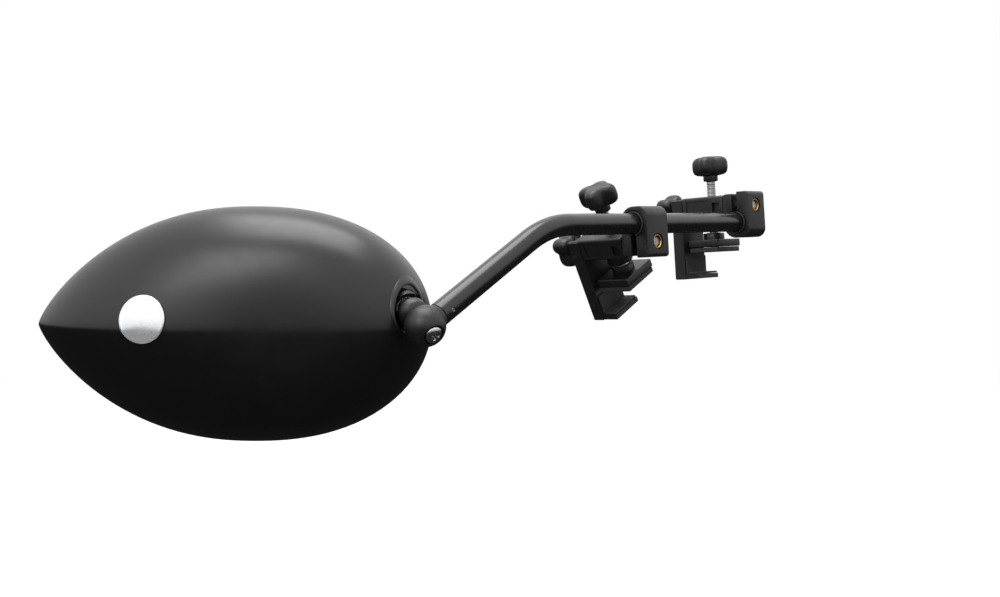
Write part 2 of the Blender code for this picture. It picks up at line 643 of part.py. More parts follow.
def make_press(prefix, place):
    """Press screw with its knob, swivel ball and seat, pad holder and rubber pad."""
    press = place @ Matrix.Translation(PRESS_AXIS)
    rod(prefix + "_press_screw", SCREW_RADIUS, PRESS_BALL_Z - 0.6 * MM, PRESS_KNOB_Z + 14.0 * MM, "zinc", press)
    knob_place = press @ Matrix.Translation((0.0, 0.0, PRESS_KNOB_Z)) @ Matrix.Rotation(0.2, 4, "Z")
    hollow_knob(prefix + "_press_knob", 14.0 * MM + GAP, knob_place)

    pivot = press @ Matrix.Translation((0.0, 0.0, PRESS_BALL_Z))
    bore = SCREW_RADIUS + 0.2 * MM
    top = math.degrees(math.acos(bore / PRESS_BALL_RADIUS))
    ball = [(0.0, -1.0 * MM), (bore, -1.0 * MM)]
    ball += list(arc((0.0, 0.0), PRESS_BALL_RADIUS, top, -90.0, 7))
    ball[-1] = (0.0, -PRESS_BALL_RADIUS)
    add_object(prefix + "_swivel_ball", turned(ball, 18), "nylon", pivot)
    seat = arc((0.0, 0.0), 7.1 * MM, 30.0, -66.0, 6) + arc((0.0, 0.0), 5.8 * MM, -66.0, 30.0, 6)
    add_object(prefix + "_ball_clip", turned(seat, 20), "zinc", pivot)

    half_u, half_v = PAD_SIZE[0] / 2.0, PAD_SIZE[1] / 2.0
    floor = PAD_BOTTOM - PRESS_BALL_Z + 4.6 * MM
    holder = add_object(prefix + "_pad_holder", block((-half_u, -half_v, floor), (half_u, half_v, -2.6 * MM)),
                        "moulded_plastic", pivot)
    soften(holder, 1.0 * MM)
    hub = add_object(prefix + "_hub_guide", turned([(0.0, -4.0 * MM), (9.2 * MM, -4.0 * MM), (9.2 * MM, 3.0 * MM),
                     (0.0, 3.0 * MM)], 22), None, pivot)
    hub.hide_render = True
    hub.display_type = "WIRE"
    join = holder.modifiers.new("hub", "BOOLEAN")
    join.operation = "UNION"
    join.solver = "EXACT"
    join.object = hub
    hollow = arc((0.0, 0.0), 7.5 * MM, -90.0, 20.0, 7)
    hollow[0] = (0.0, -7.5 * MM)
    cutter = add_object(prefix + "_hub_cutter", turned(hollow + [(7.5 * MM, 6.0 * MM), (0.0, 6.0 * MM)], 20),
                        None, pivot)
    cut(holder, cutter)
    weld(holder)
    inset = 0.7 * MM
    low = PAD_BOTTOM - PRESS_BALL_Z
    pad = add_object(prefix + "_pad_rubber", block((inset - half_u, inset - half_v, low),
                     (half_u - inset, half_v - inset, floor - GAP)), "rubber", pivot)
    soften(pad, 0.8 * MM, 1)


def clamp_matrices(clamp_x, tube_side, lean):
    """Collar frame and body frame, both on the bolt's axis; tube_side is +1 with the tube above the bolt."""
    hang = Matrix.Translation((clamp_x, 0.0, 0.0)) @ Matrix.Rotation(CLAMP_PITCH, 4, "X")
    bolt = hang @ Matrix.Translation((0.0, 0.0, -tube_side * BOLT_OFFSET))
    collar = bolt if tube_side > 0 else bolt @ Matrix.Rotation(math.pi, 4, "Y")
    return collar, bolt @ Matrix.Rotation(lean, 4, "Y")


def make_clamp(prefix, base, clamp_x, tube_side, lean):
    """One whole clamp."""
    collar, body = clamp_matrices(clamp_x, tube_side, lean)
    make_collar(prefix, base @ collar)
    make_body(prefix, base @ body)
    make_clamp_knob(prefix, base @ body)
    make_press(prefix, base @ body)
    press = base @ body @ Matrix.Translation(PRESS_AXIS)
    groups = {
        "tube_pivot": (base @ Matrix.Translation((clamp_x, 0.0, 0.0)), ("collar", "brass_insert", "grip_liner")),
        "swing_pivot": (base @ body, ("clamp_body", "press_insert", "hook_plate", "hook_rubber", "plate_screw_1",
                                      "plate_screw_2", "bolt_washer", "clamp_bolt", "clamp_knob")),
        "press_pivot": (press, ("press_screw", "press_knob", "swivel_ball", "ball_clip")),
        "pad_pivot": (press @ Matrix.Translation((0.0, 0.0, PRESS_BALL_Z)), ("pad_holder", "pad_rubber")),
    }
    for pivot, (place, names) in groups.items():
        hang(prefix + "_" + pivot, place, named(*(prefix + "_" + name for name in names)))


def main():
    """Build every sub-part around the inner clamp's hook face."""
    _, inner_body = clamp_matrices(INNER_CLAMP_X, -1, 0.0)
    hook_face = Vector((4.0 * MM, BODY_REAR + GAP - 1.7 * MM, -48.0 * MM))
    base = Matrix.Translation(-(inner_body @ hook_face))
    make_arm(base)
    make_knuckle(base)
    make_head(base)
    make_clamp("inner", base, INNER_CLAMP_X, -1, 0.0)
    make_clamp("outer", base, OUTER_CLAMP_X, 1, OUTER_LEAN)
    hang("arm_pivot", base, named("arm_tube", "arm_end_plug", "arm_end_cap", "end_cap_pin"))
    hang("knuckle_pivot", base @ aim(NECK_AXIS, arm_end()), named("ball_stud", "pivot_screw", "friction_washer"))
    return base


for leftover in list(bpy.data.objects):
    bpy.data.objects.remove(leftover, do_unlink=True)
MATERIALS = make_materials()
main()
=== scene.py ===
"""A towing mirror: fine pieces, finishes, floor, light and camera round the fixed frame.

Head, Arm and Clamp are the sub-assemblies. Their fields are sizes in metres, and their
build methods make the fine pieces and hand each one to its CAD body.
"""
import json
import logging
import math
from dataclasses import dataclass, field
from enum import Enum
from functools import cached_property
from typing import Iterable, Sequence

import bmesh
import bpy
from mathutils import Matrix, Vector


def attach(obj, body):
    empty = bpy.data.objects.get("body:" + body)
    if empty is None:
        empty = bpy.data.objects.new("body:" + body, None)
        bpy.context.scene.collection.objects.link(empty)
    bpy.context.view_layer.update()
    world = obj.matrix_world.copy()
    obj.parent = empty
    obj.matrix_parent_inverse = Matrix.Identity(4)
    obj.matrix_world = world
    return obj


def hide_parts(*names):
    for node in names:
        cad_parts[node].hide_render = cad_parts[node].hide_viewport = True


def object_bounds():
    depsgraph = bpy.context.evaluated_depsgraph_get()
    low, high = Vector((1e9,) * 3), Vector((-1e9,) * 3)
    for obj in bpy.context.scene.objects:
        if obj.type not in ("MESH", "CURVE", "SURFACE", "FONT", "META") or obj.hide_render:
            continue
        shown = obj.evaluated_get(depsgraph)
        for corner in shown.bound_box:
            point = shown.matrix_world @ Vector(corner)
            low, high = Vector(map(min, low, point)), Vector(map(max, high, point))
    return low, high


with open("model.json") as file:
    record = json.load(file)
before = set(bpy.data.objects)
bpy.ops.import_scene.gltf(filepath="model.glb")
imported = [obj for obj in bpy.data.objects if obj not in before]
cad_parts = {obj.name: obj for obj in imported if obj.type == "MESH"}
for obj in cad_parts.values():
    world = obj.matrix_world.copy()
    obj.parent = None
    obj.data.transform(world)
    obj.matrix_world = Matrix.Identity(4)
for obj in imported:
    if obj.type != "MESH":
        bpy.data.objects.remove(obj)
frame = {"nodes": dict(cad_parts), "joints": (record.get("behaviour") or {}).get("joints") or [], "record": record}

CAD_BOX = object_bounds()

logging.basicConfig(level=logging.INFO, format="%(name)s: %(message)s")
LOG = logging.getLogger("towing_mirror")

Point2 = tuple[float, float]
Point3 = tuple[float, float, float]
BMesh = bmesh.types.BMesh
Node = bpy.types.Node
Tree = bpy.types.NodeTree

MM = 0.001
GAP = 0.3 * MM  # clearance between fitted pieces
FINE = 96  # points round a large ring
MEDIUM = 56  # points round a small ring
ON_AXIS = 1e-7  # a profile point nearer to the axis is a pole
MERGE = 0.01 * MM  # points closer than this become one after a boolean step
SHARP = 40.0  # degrees above which an edge is rounded, or stays sharp in the shading
ROUNDING_STEPS = 4  # segments across a rounded edge
WHITE = (1.0, 1.0, 1.0, 1.0)
ORIGIN = Vector((0.0, 0.0, 0.0))
REARWARD = Vector((0.0, 1.0, 0.0))
UP = Vector((0.0, 0.0, 1.0))


class Slot(Enum):
    """Material slots of the record."""

    PLASTIC = "moulded_plastic"
    SHELL = "shell_plastic"
    PAINT = "tube_paint"
    RUBBER = "rubber"
    NYLON = "nylon"
    ZINC = "zinc"
    BRASS = "brass"
    STAINLESS = "stainless"
    BADGE = "badge"
    MIRROR = "mirror"


class Side(Enum):
    """The two clamps."""

    INNER = "inner"
    OUTER = "outer"


# Finishes


def cleared(owner: bpy.types.Material | bpy.types.World, kind: str,
            place: Point2) -> tuple[Tree, Node]:
    """Empty the node tree of a material or a world down to a new output node.

    Args:
        owner: Material or world.
        kind: Type of its output node.
        place: Where the output node stands.

    Returns:
        The tree and its output node.
    """
    owner.use_nodes = True
    tree = owner.node_tree
    tree.nodes.clear()
    output = tree.nodes.new(kind)
    output.label, output.location = "Out", place
    return tree, output


@dataclass(frozen=True)
class Finish:
    """One finish: base colour with mottling, surface grain, uneven gloss and light wear.

    Attributes:
        slot: The record's slot that the finish belongs to.
        colour: Base colour, linear.
        mottle: Second colour that the mottling drifts towards.
        metallic: 0 for plastics, 1 for metals.
        roughness: Lowest and highest roughness over the surface.
        grain_scale: Grain cells per metre.
        grain_height: Height of the grain in metres.
        stretch: Scale of the grain along X, Y and Z, for brushed or drawn surfaces.
        wear_colour: Point3 of the light scuffs.
        wear: Share of the scuff colour where a scuff is strongest.
        coat: Weight of the clear coat.
    """

    slot: Slot
    colour: Point3
    mottle: Point3
    metallic: float = 0.0
    roughness: Point2 = (0.5, 0.6)
    grain_scale: float = 1800.0
    grain_height: float = 0.00006
    stretch: Point3 = (1.0, 1.0, 1.0)
    wear_colour: Point3 = (0.2, 0.2, 0.2)
    wear: float = 0.08
    coat: float = 0.0

    def material(self) -> bpy.types.Material:
        """Build the finish's node tree.

        Returns:
            The new material.
        """
        made = bpy.data.materials.new("finish_" + self.slot.value)
        tree, output = cleared(made, "ShaderNodeOutputMaterial", (900, 0))
        shader = tree.nodes.new("ShaderNodeBsdfPrincipled")
        shader.label, shader.location = "Finish", (600, 0)
        shader.inputs["Metallic"].default_value = self.metallic
        shader.inputs["Coat Weight"].default_value = self.coat
        shader.inputs["Coat Roughness"].default_value = 0.06
        tree.links.new(shader.outputs["BSDF"], output.inputs["Surface"])
        place = tree.nodes.new("ShaderNodeTexCoord")
        place.label, place.location = "Place on the object", (-1100, 0)
        self._colour(tree, place, shader)
        self._gloss(tree, place, shader)
        self._grain(tree, place, shader)
        return made

    def _colour(self, tree: Tree, place: Node, shader: Node) -> None:
        """Mottled base colour with light scuffs.

        Args:
            tree: Tree to add to.
            place: Texture coordinate node.
            shader: Shader to drive.
        """
        group = tree.nodes.new("NodeFrame")
        group.label = "Colour and wear"
        cloud = tree.nodes.new("ShaderNodeTexNoise")
        cloud.label, cloud.location = "Mottling", (-800, 500)
        cloud.inputs["Scale"].default_value = 55.0
        cloud.inputs["Detail"].default_value = 5.0
        scuff = tree.nodes.new("ShaderNodeTexNoise")
        scuff.label, scuff.location = "Scuffs", (-800, 250)
        scuff.inputs["Scale"].default_value = 210.0
        scuff.inputs["Detail"].default_value = 8.0
        scuff.inputs["Distortion"].default_value = 1.5
        keep = tree.nodes.new("ShaderNodeMapRange")
        keep.label, keep.location = "Only the strongest scuffs", (-560, 250)
        keep.inputs["From Min"].default_value = 0.62
        keep.inputs["From Max"].default_value = 0.80
        keep.inputs["To Max"].default_value = self.wear
        base = tree.nodes.new("ShaderNodeMix")
        base.label, base.location, base.data_type = "Mottled colour", (-300, 450), "RGBA"
        base.inputs[6].default_value = (*self.colour, 1.0)
        base.inputs[7].default_value = (*self.mottle, 1.0)
        worn = tree.nodes.new("ShaderNodeMix")
        worn.label, worn.location, worn.data_type = "Worn colour", (-60, 400), "RGBA"
        worn.inputs[7].default_value = (*self.wear_colour, 1.0)
        for node in (cloud, scuff, keep, base, worn):
            node.parent = group
        tree.links.new(place.outputs["Object"], cloud.inputs["Vector"])
        tree.links.new(place.outputs["Object"], scuff.inputs["Vector"])
        tree.links.new(cloud.outputs["Fac"], base.inputs[0])
        tree.links.new(scuff.outputs["Fac"], keep.inputs["Value"])
        tree.links.new(keep.outputs["Result"], worn.inputs[0])
        tree.links.new(base.outputs[2], worn.inputs[6])
        tree.links.new(worn.outputs[2], shader.inputs["Base Color"])

    def _gloss(self, tree: Tree, place: Node, shader: Node) -> None:
        """Roughness that drifts over the surface.

        Args:
            tree: Tree to add to.
            place: Texture coordinate node.
            shader: Shader to drive.
        """
        group = tree.nodes.new("NodeFrame")
        group.label = "Uneven gloss"
        drift = tree.nodes.new("ShaderNodeTexNoise")
        drift.label, drift.location = "Gloss drift", (-800, -50)
        drift.inputs["Scale"].default_value = 130.0
        drift.inputs["Detail"].default_value = 6.0
        span = tree.nodes.new("ShaderNodeMapRange")
        span.label, span.location = "Roughness range", (-300, -50)
        span.inputs["From Min"].default_value = 0.3
        span.inputs["From Max"].default_value = 0.7
        span.inputs["To Min"].default_value = self.roughness[0]
        span.inputs["To Max"].default_value = self.roughness[1]
        drift.parent = span.parent = group
        tree.links.new(place.outputs["Object"], drift.inputs["Vector"])
        tree.links.new(drift.outputs["Fac"], span.inputs["Value"])
        tree.links.new(span.outputs["Result"], shader.inputs["Roughness"])

    def _grain(self, tree: Tree, place: Node, shader: Node) -> None:
        """Fine grain as bump, stretched for brushed and drawn surfaces.

        Args:
            tree: Tree to add to.
            place: Texture coordinate node.
            shader: Shader to drive.
        """
        group = tree.nodes.new("NodeFrame")
        group.label = "Surface grain"
        spread = tree.nodes.new("ShaderNodeMapping")
        spread.label, spread.location = "Grain direction", (-800, -350)
        spread.inputs["Scale"].default_value = self.stretch
        cells = tree.nodes.new("ShaderNodeTexVoronoi")
        cells.label, cells.location = "Grain cells", (-560, -350)
        cells.inputs["Scale"].default_value = self.grain_scale
        fine = tree.nodes.new("ShaderNodeTexNoise")
        fine.label, fine.location = "Fine grain", (-560, -600)
        fine.inputs["Scale"].default_value = self.grain_scale * 2.2
        fine.inputs["Detail"].default_value = 3.0
        both = tree.nodes.new("ShaderNodeMath")
        both.label, both.location, both.operation = "Cells and fine grain", (-300, -400), "ADD"
        bump = tree.nodes.new("ShaderNodeBump")
        bump.label, bump.location = "Grain height", (-60, -400)
        bump.inputs["Strength"].default_value = 0.5
        bump.inputs["Distance"].default_value = self.grain_height
        for node in (spread, cells, fine, both, bump):
            node.parent = group
        tree.links.new(place.outputs["Object"], spread.inputs["Vector"])
        tree.links.new(spread.outputs["Vector"], cells.inputs["Vector"])
        tree.links.new(spread.outputs["Vector"], fine.inputs["Vector"])
        tree.links.new(cells.outputs["Distance"], both.inputs[0])
        tree.links.new(fine.outputs["Fac"], both.inputs[1])
        tree.links.new(both.outputs["Value"], bump.inputs["Height"])
        tree.links.new(bump.outputs["Normal"], shader.inputs["Normal"])


FINISHES: tuple[Finish, ...] = (
    Finish(Slot.PLASTIC, (0.0028, 0.0028, 0.003), (0.005, 0.005, 0.0053), roughness=(0.36, 0.48),
           grain_scale=1500.0, grain_height=0.00005, wear_colour=(0.05, 0.05, 0.05), wear=0.30),
    Finish(Slot.SHELL, (0.0016, 0.0016, 0.0017), (0.0024, 0.0024, 0.0025), roughness=(0.30, 0.36),
           grain_scale=1300.0, grain_height=0.000016, wear_colour=(0.012, 0.012, 0.012), wear=0.12),
    Finish(Slot.PAINT, (0.0030, 0.0030, 0.0030), (0.0045, 0.0045, 0.0045), roughness=(0.22, 0.30),
           grain_scale=420.0, grain_height=0.000008, wear_colour=(0.02, 0.02, 0.02),
           wear=0.15, coat=0.05),
    Finish(Slot.RUBBER, (0.008, 0.008, 0.008), (0.015, 0.015, 0.015), roughness=(0.62, 0.80),
           grain_scale=1100.0, grain_height=0.00016, wear_colour=(0.08, 0.08, 0.08), wear=0.45),
    Finish(Slot.NYLON, (0.62, 0.60, 0.54), (0.52, 0.50, 0.45), roughness=(0.34, 0.46),
           grain_scale=900.0, wear_colour=(0.30, 0.28, 0.24), wear=0.3),
    Finish(Slot.ZINC, (0.50, 0.51, 0.52), (0.38, 0.39, 0.40), metallic=1.0, roughness=(0.24, 0.42),
           grain_scale=1400.0, stretch=(1.0, 1.0, 6.0), wear_colour=(0.22, 0.21, 0.20), wear=0.5),
    Finish(Slot.BRASS, (0.66, 0.42, 0.13), (0.50, 0.31, 0.09), metallic=1.0, roughness=(0.20, 0.36),
           grain_scale=1600.0, stretch=(6.0, 1.0, 1.0), wear_colour=(0.24, 0.14, 0.05), wear=0.5),
    Finish(Slot.STAINLESS, (0.62, 0.62, 0.61), (0.52, 0.52, 0.51), metallic=1.0,
           roughness=(0.16, 0.30), grain_scale=1500.0, stretch=(1.0, 5.0, 1.0),
           wear_colour=(0.30, 0.30, 0.30), wear=0.4),
    Finish(Slot.BADGE, (0.74, 0.75, 0.76), (0.68, 0.69, 0.70), metallic=0.75,
           roughness=(0.22, 0.30), grain_scale=2600.0, grain_height=0.000006,
           wear_colour=(0.66, 0.66, 0.67), wear=0.10, coat=0.6),
    Finish(Slot.MIRROR, (0.88, 0.89, 0.90), (0.85, 0.86, 0.87), metallic=1.0,
           roughness=(0.015, 0.04), grain_scale=140.0, grain_height=0.000002,
           wear_colour=(0.70, 0.70, 0.70), wear=0.1),
)
MATERIALS: dict[Slot, bpy.types.Material] = {finish.slot: finish.material() for finish in FINISHES}


# Mesh helpers


def in_mm(*points: Point2) -> list[Point2]:
    """Points of a profile given in millimetres.

    Args:
        points: The points in millimetres.

    Returns:
        The points in metres.
    """
    return [(x * MM, y * MM) for x, y in points]


def around(count: int) -> list[float]:
    """Evenly spaced angles round a full turn.

    Args:
        count: Number of angles.

    Returns:
        The angles.
    """
    return [2.0 * math.pi * step / count for step in range(count)]


def join_rings(bm: BMesh, first: Sequence[bmesh.types.BMVert],
               second: Sequence[bmesh.types.BMVert]) -> None:
    """Faces between two rings of points, either of which may be a single pole.

    Args:
        bm: Mesh to add to.
        first: One ring.
        second: The next ring.
    """
    count = max(len(first), len(second))
    for step in range(count):
        after = (step + 1) % count
        corners = [first[step % len(first)], first[after % len(first)],
                   second[after % len(second)], second[step % len(second)]]
        unique = list(dict.fromkeys(corners))
        if len(unique) > 2:
            bm.faces.new(unique)


def grid(rows: Iterable[Sequence[Sequence[float]]], closed: bool = False) -> BMesh:
    """Mesh through rows of points, each row a ring or a single pole.

    Args:
        rows: Rings of points.
        closed: True joins the last ring to the first.

    Returns:
        The new mesh.
    """
    bm = bmesh.new()
    rings = [[bm.verts.new(point) for point in row] for row in rows]
    for first, second in zip(rings, rings[1:]):
        join_rings(bm, first, second)
    if closed:
        join_rings(bm, rings[-1], rings[0])
    return bm


def arc(centre: Point2, radius: float, start: float, end: float, steps: int) -> list[Point2]:
    """Points on an arc.

    Args:
        centre: Centre of the arc.
        radius: Its radius.
        start: First angle in degrees.
        end: Last angle in degrees.
        steps: Number of segments.

    Returns:
        The points, both ends included.
    """
    turns = [math.radians(start + (end - start) * step / steps) for step in range(steps + 1)]
    return [(centre[0] + radius * math.cos(turn), centre[1] + radius * math.sin(turn))
            for turn in turns]


def turned(profile: Sequence[Point2], segments: int = FINE) -> BMesh:
    """Solid of revolution about Z.

    Args:
        profile: (radius, height) points, from axis to axis for a full solid and otherwise
            a closed ring.
        segments: Points round each ring.

    Returns:
        The new mesh.
    """
    rows = []
    for radius, height in profile:
        turns = around(segments if radius > ON_AXIS else 1)
        wide = radius if radius > ON_AXIS else 0.0
        rows.append([(wide * math.cos(turn), wide * math.sin(turn), height) for turn in turns])
    return grid(rows, closed=len(rows[0]) > 1)


def extruded(outline: Sequence[Point2], low: float, high: float) -> BMesh:
    """Straight extrusion along Z of a closed outline.

    Args:
        outline: The (x, y) points.
        low: Lower height.
        high: Upper height.

    Returns:
        The new mesh.
    """
    bm = bmesh.new()
    base = [bm.verts.new((x, y, low)) for x, y in outline]
    top = [bm.verts.new((x, y, high)) for x, y in outline]
    bm.faces.new(base)
    bm.faces.new(top)
    join_rings(bm, base, top)
    return bm


def block(low: Sequence[float], high: Sequence[float]) -> BMesh:
    """A box between two corners, for bevelling or cutting.

    Args:
        low: Lowest corner.
        high: Highest corner.

    Returns:
        The new mesh.
    """
    outline = [(low[0], low[1]), (high[0], low[1]), (high[0], high[1]), (low[0], high[1])]
    return extruded(outline, low[2], high[2])


def drum(radius: float, low: float, high: float, segments: int = MEDIUM) -> BMesh:
    """A round bar along Z, mostly for cutting.

    Args:
        radius: Its radius.
        low: Lower height.
        high: Upper height.
        segments: Points round it.

    Returns:
        The new mesh.
    """
    return turned([(0.0, low), (radius, low), (radius, high), (0.0, high)], segments)


def aim(axis: Vector, point: Vector) -> Matrix:
    """Place whose Z looks along an axis.

    Args:
        axis: Direction of the new Z.
        point: Where the place sits.

    Returns:
        The place as a matrix.
    """
    return Matrix.Translation(point) @ axis.to_track_quat("Z", "Y").to_matrix().to_4x4()


@dataclass
class Change:
    """A boolean step of a piece.

    Attributes:
        tool: Mesh that is added or cut.
        place: The tool's place in the piece's own frame.
        operation: DIFFERENCE or UNION.
    """

    tool: BMesh
    place: Matrix = field(default_factory=lambda: Matrix.Identity(4))
    operation: str = "DIFFERENCE"


def bare(name: str, bm: BMesh) -> bpy.types.Object:
    """Object of a bmesh with outward faces, before any modifier.

    Args:
        name: Name of the object.
        bm: Its mesh, which is used up.

    Returns:
        The new object.
    """
    bmesh.ops.recalc_face_normals(bm, faces=bm.faces)
    mesh = bpy.data.meshes.new(name)
    bm.to_mesh(mesh)
    bm.free()
    made = bpy.data.objects.new(name, mesh)
    bpy.context.scene.collection.objects.link(made)
    return made


def plain(raw: bpy.types.Object, name: str) -> bpy.types.Mesh:
    """Evaluate an object with its modifiers to a plain mesh and delete the object.

    Args:
        raw: Object with modifiers.
        name: Name of the new mesh.

    Returns:
        The plain mesh.
    """
    graph = bpy.context.evaluated_depsgraph_get()
    mesh = bpy.data.meshes.new_from_object(raw.evaluated_get(graph))
    mesh.name = name
    bpy.data.objects.remove(raw, do_unlink=True)
    return mesh


def finish_piece(name: str, mesh: bpy.types.Mesh, slot: Slot, body: str, nodes: Sequence[str],
                 place: Matrix, sharp: float) -> None:
    """Place a plain mesh, dress it and hand it to its body.

    Args:
        name: Name of the piece.
        mesh: Its mesh in its own frame.
        slot: Material slot.
        body: CAD body that it rides on.
        nodes: CAD nodes that it stands for.
        place: Where it goes.
        sharp: Angle in degrees above which an edge stays sharp.
    """
    mesh.transform(place)
    mesh.shade_smooth()
    mesh.set_sharp_from_angle(angle=math.radians(sharp))
    mesh.materials.clear()
    mesh.materials.append(MATERIALS[slot])
    made = bpy.data.objects.new(name, mesh)
    bpy.context.scene.collection.objects.link(made)
    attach(made, body)
    if nodes:
        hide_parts(*nodes)
    LOG.info("%s: %d faces on %s", name, len(mesh.polygons), body)


def piece(name: str, bm: BMesh, slot: Slot, body: str, nodes: Sequence[str] = (),
          place: Matrix = Matrix.Identity(4), changes: Sequence[Change] = (),
          round_off: float = 0.0, sharp: float = SHARP) -> None:
    """Make a finished piece from a mesh, its rounded edges and its boolean steps.

    Args:
        name: Name of the piece.
        bm: Its mesh in its own frame.
        slot: Material slot.
        body: CAD body that it rides on.
        nodes: CAD nodes that it stands for.
        place: Where it goes.
        changes: Boolean steps, in order.
        round_off: Width of the rounded edges, which come before the boolean steps.
        sharp: Angle in degrees above which an edge stays sharp.
    """
    raw = bare(name + ".raw", bm)
    tools = []
    if round_off:
        edge = raw.modifiers.new("round", "BEVEL")
        edge.width, edge.segments = round_off, ROUNDING_STEPS
        edge.limit_method, edge.angle_limit = "ANGLE", math.radians(SHARP)
    for change in changes:
        tool = bare(name + ".tool", change.tool)
        tool.matrix_world = change.place
        step = raw.modifiers.new("step", "BOOLEAN")
        step.operation, step.solver, step.object = change.operation, "EXACT", tool
        tools.append(tool)
    if changes:
        raw.modifiers.new("weld", "WELD").merge_threshold = MERGE
    bpy.context.view_layer.update()
    mesh = plain(raw, name)
    for tool in tools:
        bpy.data.objects.remove(tool, do_unlink=True)
    finish_piece(name, mesh, slot, body, nodes, place, sharp)


# Places from the frame


JOINTS: dict[str, dict] = {joint["name"]: joint for joint in frame["joints"]}


def joint_point(name: str) -> Vector:
    """Point of a joint at rest.

    Args:
        name: The joint's name.

    Returns:
        The point in metres.
    """
    return Vector(JOINTS[name]["pos_m"])


def joint_axis(name: str) -> Vector:
    """Axis of a joint at rest.

    Args:
        name: The joint's name.

    Returns:
        The unit axis.
    """
    return Vector(JOINTS[name]["axis"]).normalized()


def placed(x_axis: Vector, y_axis: Vector, z_axis: Vector, point: Vector) -> Matrix:
    """Place from its three axes and its origin.

    Args:
        x_axis: New X.
        y_axis: New Y.
        z_axis: New Z.
        point: Origin.

    Returns:
        The place as a matrix.
    """
    return Matrix.Translation(point) @ Matrix((x_axis, y_axis, z_axis)).transposed().to_4x4()


# Geometry Nodes

TURN_STEPS, RIDGE_SIDES = 32, 6  # segments of one turn of a thread, and sides of its ridge
RIB_WIDTH = 0.5 * MM  # width of one rib of a knurl


def input_id(tree: Tree, name: str) -> str:
    """Identifier of a named input.

    Args:
        tree: The node tree.
        name: Name of the input.

    Returns:
        The socket's identifier.
    """
    for item in tree.interface.items_tree:
        if item.item_type == "SOCKET" and item.in_out == "INPUT" and item.name == name:
            return item.identifier
    raise KeyError(name)


def new_tree(name: str, numbers: Sequence[str]) -> tuple[Tree, Node, Node]:
    """Empty tree with geometry in and out, named number inputs and a material input.

    Args:
        name: Name of the tree.
        numbers: Names of the number inputs.

    Returns:
        The tree, its input node and its output node.
    """
    tree = bpy.data.node_groups.new(name, "GeometryNodeTree")
    tree.interface.new_socket("Geometry", in_out="INPUT", socket_type="NodeSocketGeometry")
    for number in numbers:
        tree.interface.new_socket(number, in_out="INPUT", socket_type="NodeSocketFloat")
    tree.interface.new_socket("Finish", in_out="INPUT", socket_type="NodeSocketMaterial")
    tree.interface.new_socket("Geometry", in_out="OUTPUT", socket_type="NodeSocketGeometry")
    source = tree.nodes.new("NodeGroupInput")
    source.label, source.location = "Sizes", (-900, 0)
    target = tree.nodes.new("NodeGroupOutput")
    target.label, target.location = "Made", (900, 0)
    return tree, source, target


def close_tree(tree: Tree, source: Node, target: Node,
               last: bpy.types.NodeSocket) -> None:
    """End a tree in Realize Instances and Set Material.

    Args:
        tree: The node tree.
        source: Its input node.
        target: Its output node.
        last: Geometry to end with.
    """
    real = tree.nodes.new("GeometryNodeRealizeInstances")
    real.label, real.location = "Real faces", (500, 0)
    paint = tree.nodes.new("GeometryNodeSetMaterial")
    paint.label, paint.location = "Finish", (700, 0)
    tree.links.new(last, real.inputs["Geometry"])
    tree.links.new(real.outputs["Geometry"], paint.inputs["Geometry"])
    tree.links.new(source.outputs["Finish"], paint.inputs["Material"])
    tree.links.new(paint.outputs["Geometry"], target.inputs["Geometry"])


def thread_tree() -> Tree:
    """Screw thread: a ridge wound round the core that comes in.

    Returns:
        The node tree, with inputs Root, Turns, Length, Start and Ridge.
    """
    tree, source, target = new_tree("screw_thread", ("Root", "Turns", "Length", "Start", "Ridge"))
    helix = tree.nodes.new("GeometryNodeCurveSpiral")
    helix.label, helix.location = "Helix", (-600, 200)
    helix.inputs["Resolution"].default_value = TURN_STEPS
    ridge = tree.nodes.new("GeometryNodeCurvePrimitiveCircle")
    ridge.label, ridge.location = "Ridge section", (-600, -100)
    ridge.inputs["Resolution"].default_value = RIDGE_SIDES
    sweep = tree.nodes.new("GeometryNodeCurveToMesh")
    sweep.label, sweep.location = "Ridge along the helix", (-350, 100)
    sweep.inputs["Fill Caps"].default_value = True
    up = tree.nodes.new("ShaderNodeCombineXYZ")
    up.label, up.location = "Start height", (-350, -150)
    move = tree.nodes.new("GeometryNodeTransform")
    move.label, move.location = "Lift to the start", (-100, 100)
    both = tree.nodes.new("GeometryNodeJoinGeometry")
    both.label, both.location = "Core and ridge", (200, 0)
    links = tree.links
    links.new(source.outputs["Turns"], helix.inputs["Rotations"])
    links.new(source.outputs["Root"], helix.inputs["Start Radius"])
    links.new(source.outputs["Root"], helix.inputs["End Radius"])
    links.new(source.outputs["Length"], helix.inputs["Height"])
    links.new(source.outputs["Ridge"], ridge.inputs["Radius"])
    links.new(helix.outputs["Curve"], sweep.inputs["Curve"])
    links.new(ridge.outputs["Curve"], sweep.inputs["Profile Curve"])
    links.new(source.outputs["Start"], up.inputs["Z"])
    links.new(sweep.outputs["Mesh"], move.inputs["Geometry"])
    links.new(up.outputs["Vector"], move.inputs["Translation"])
    links.new(source.outputs["Geometry"], both.inputs["Geometry"])
    links.new(move.outputs["Geometry"], both.inputs["Geometry"])
    close_tree(tree, source, target, both.outputs["Geometry"])
    return tree


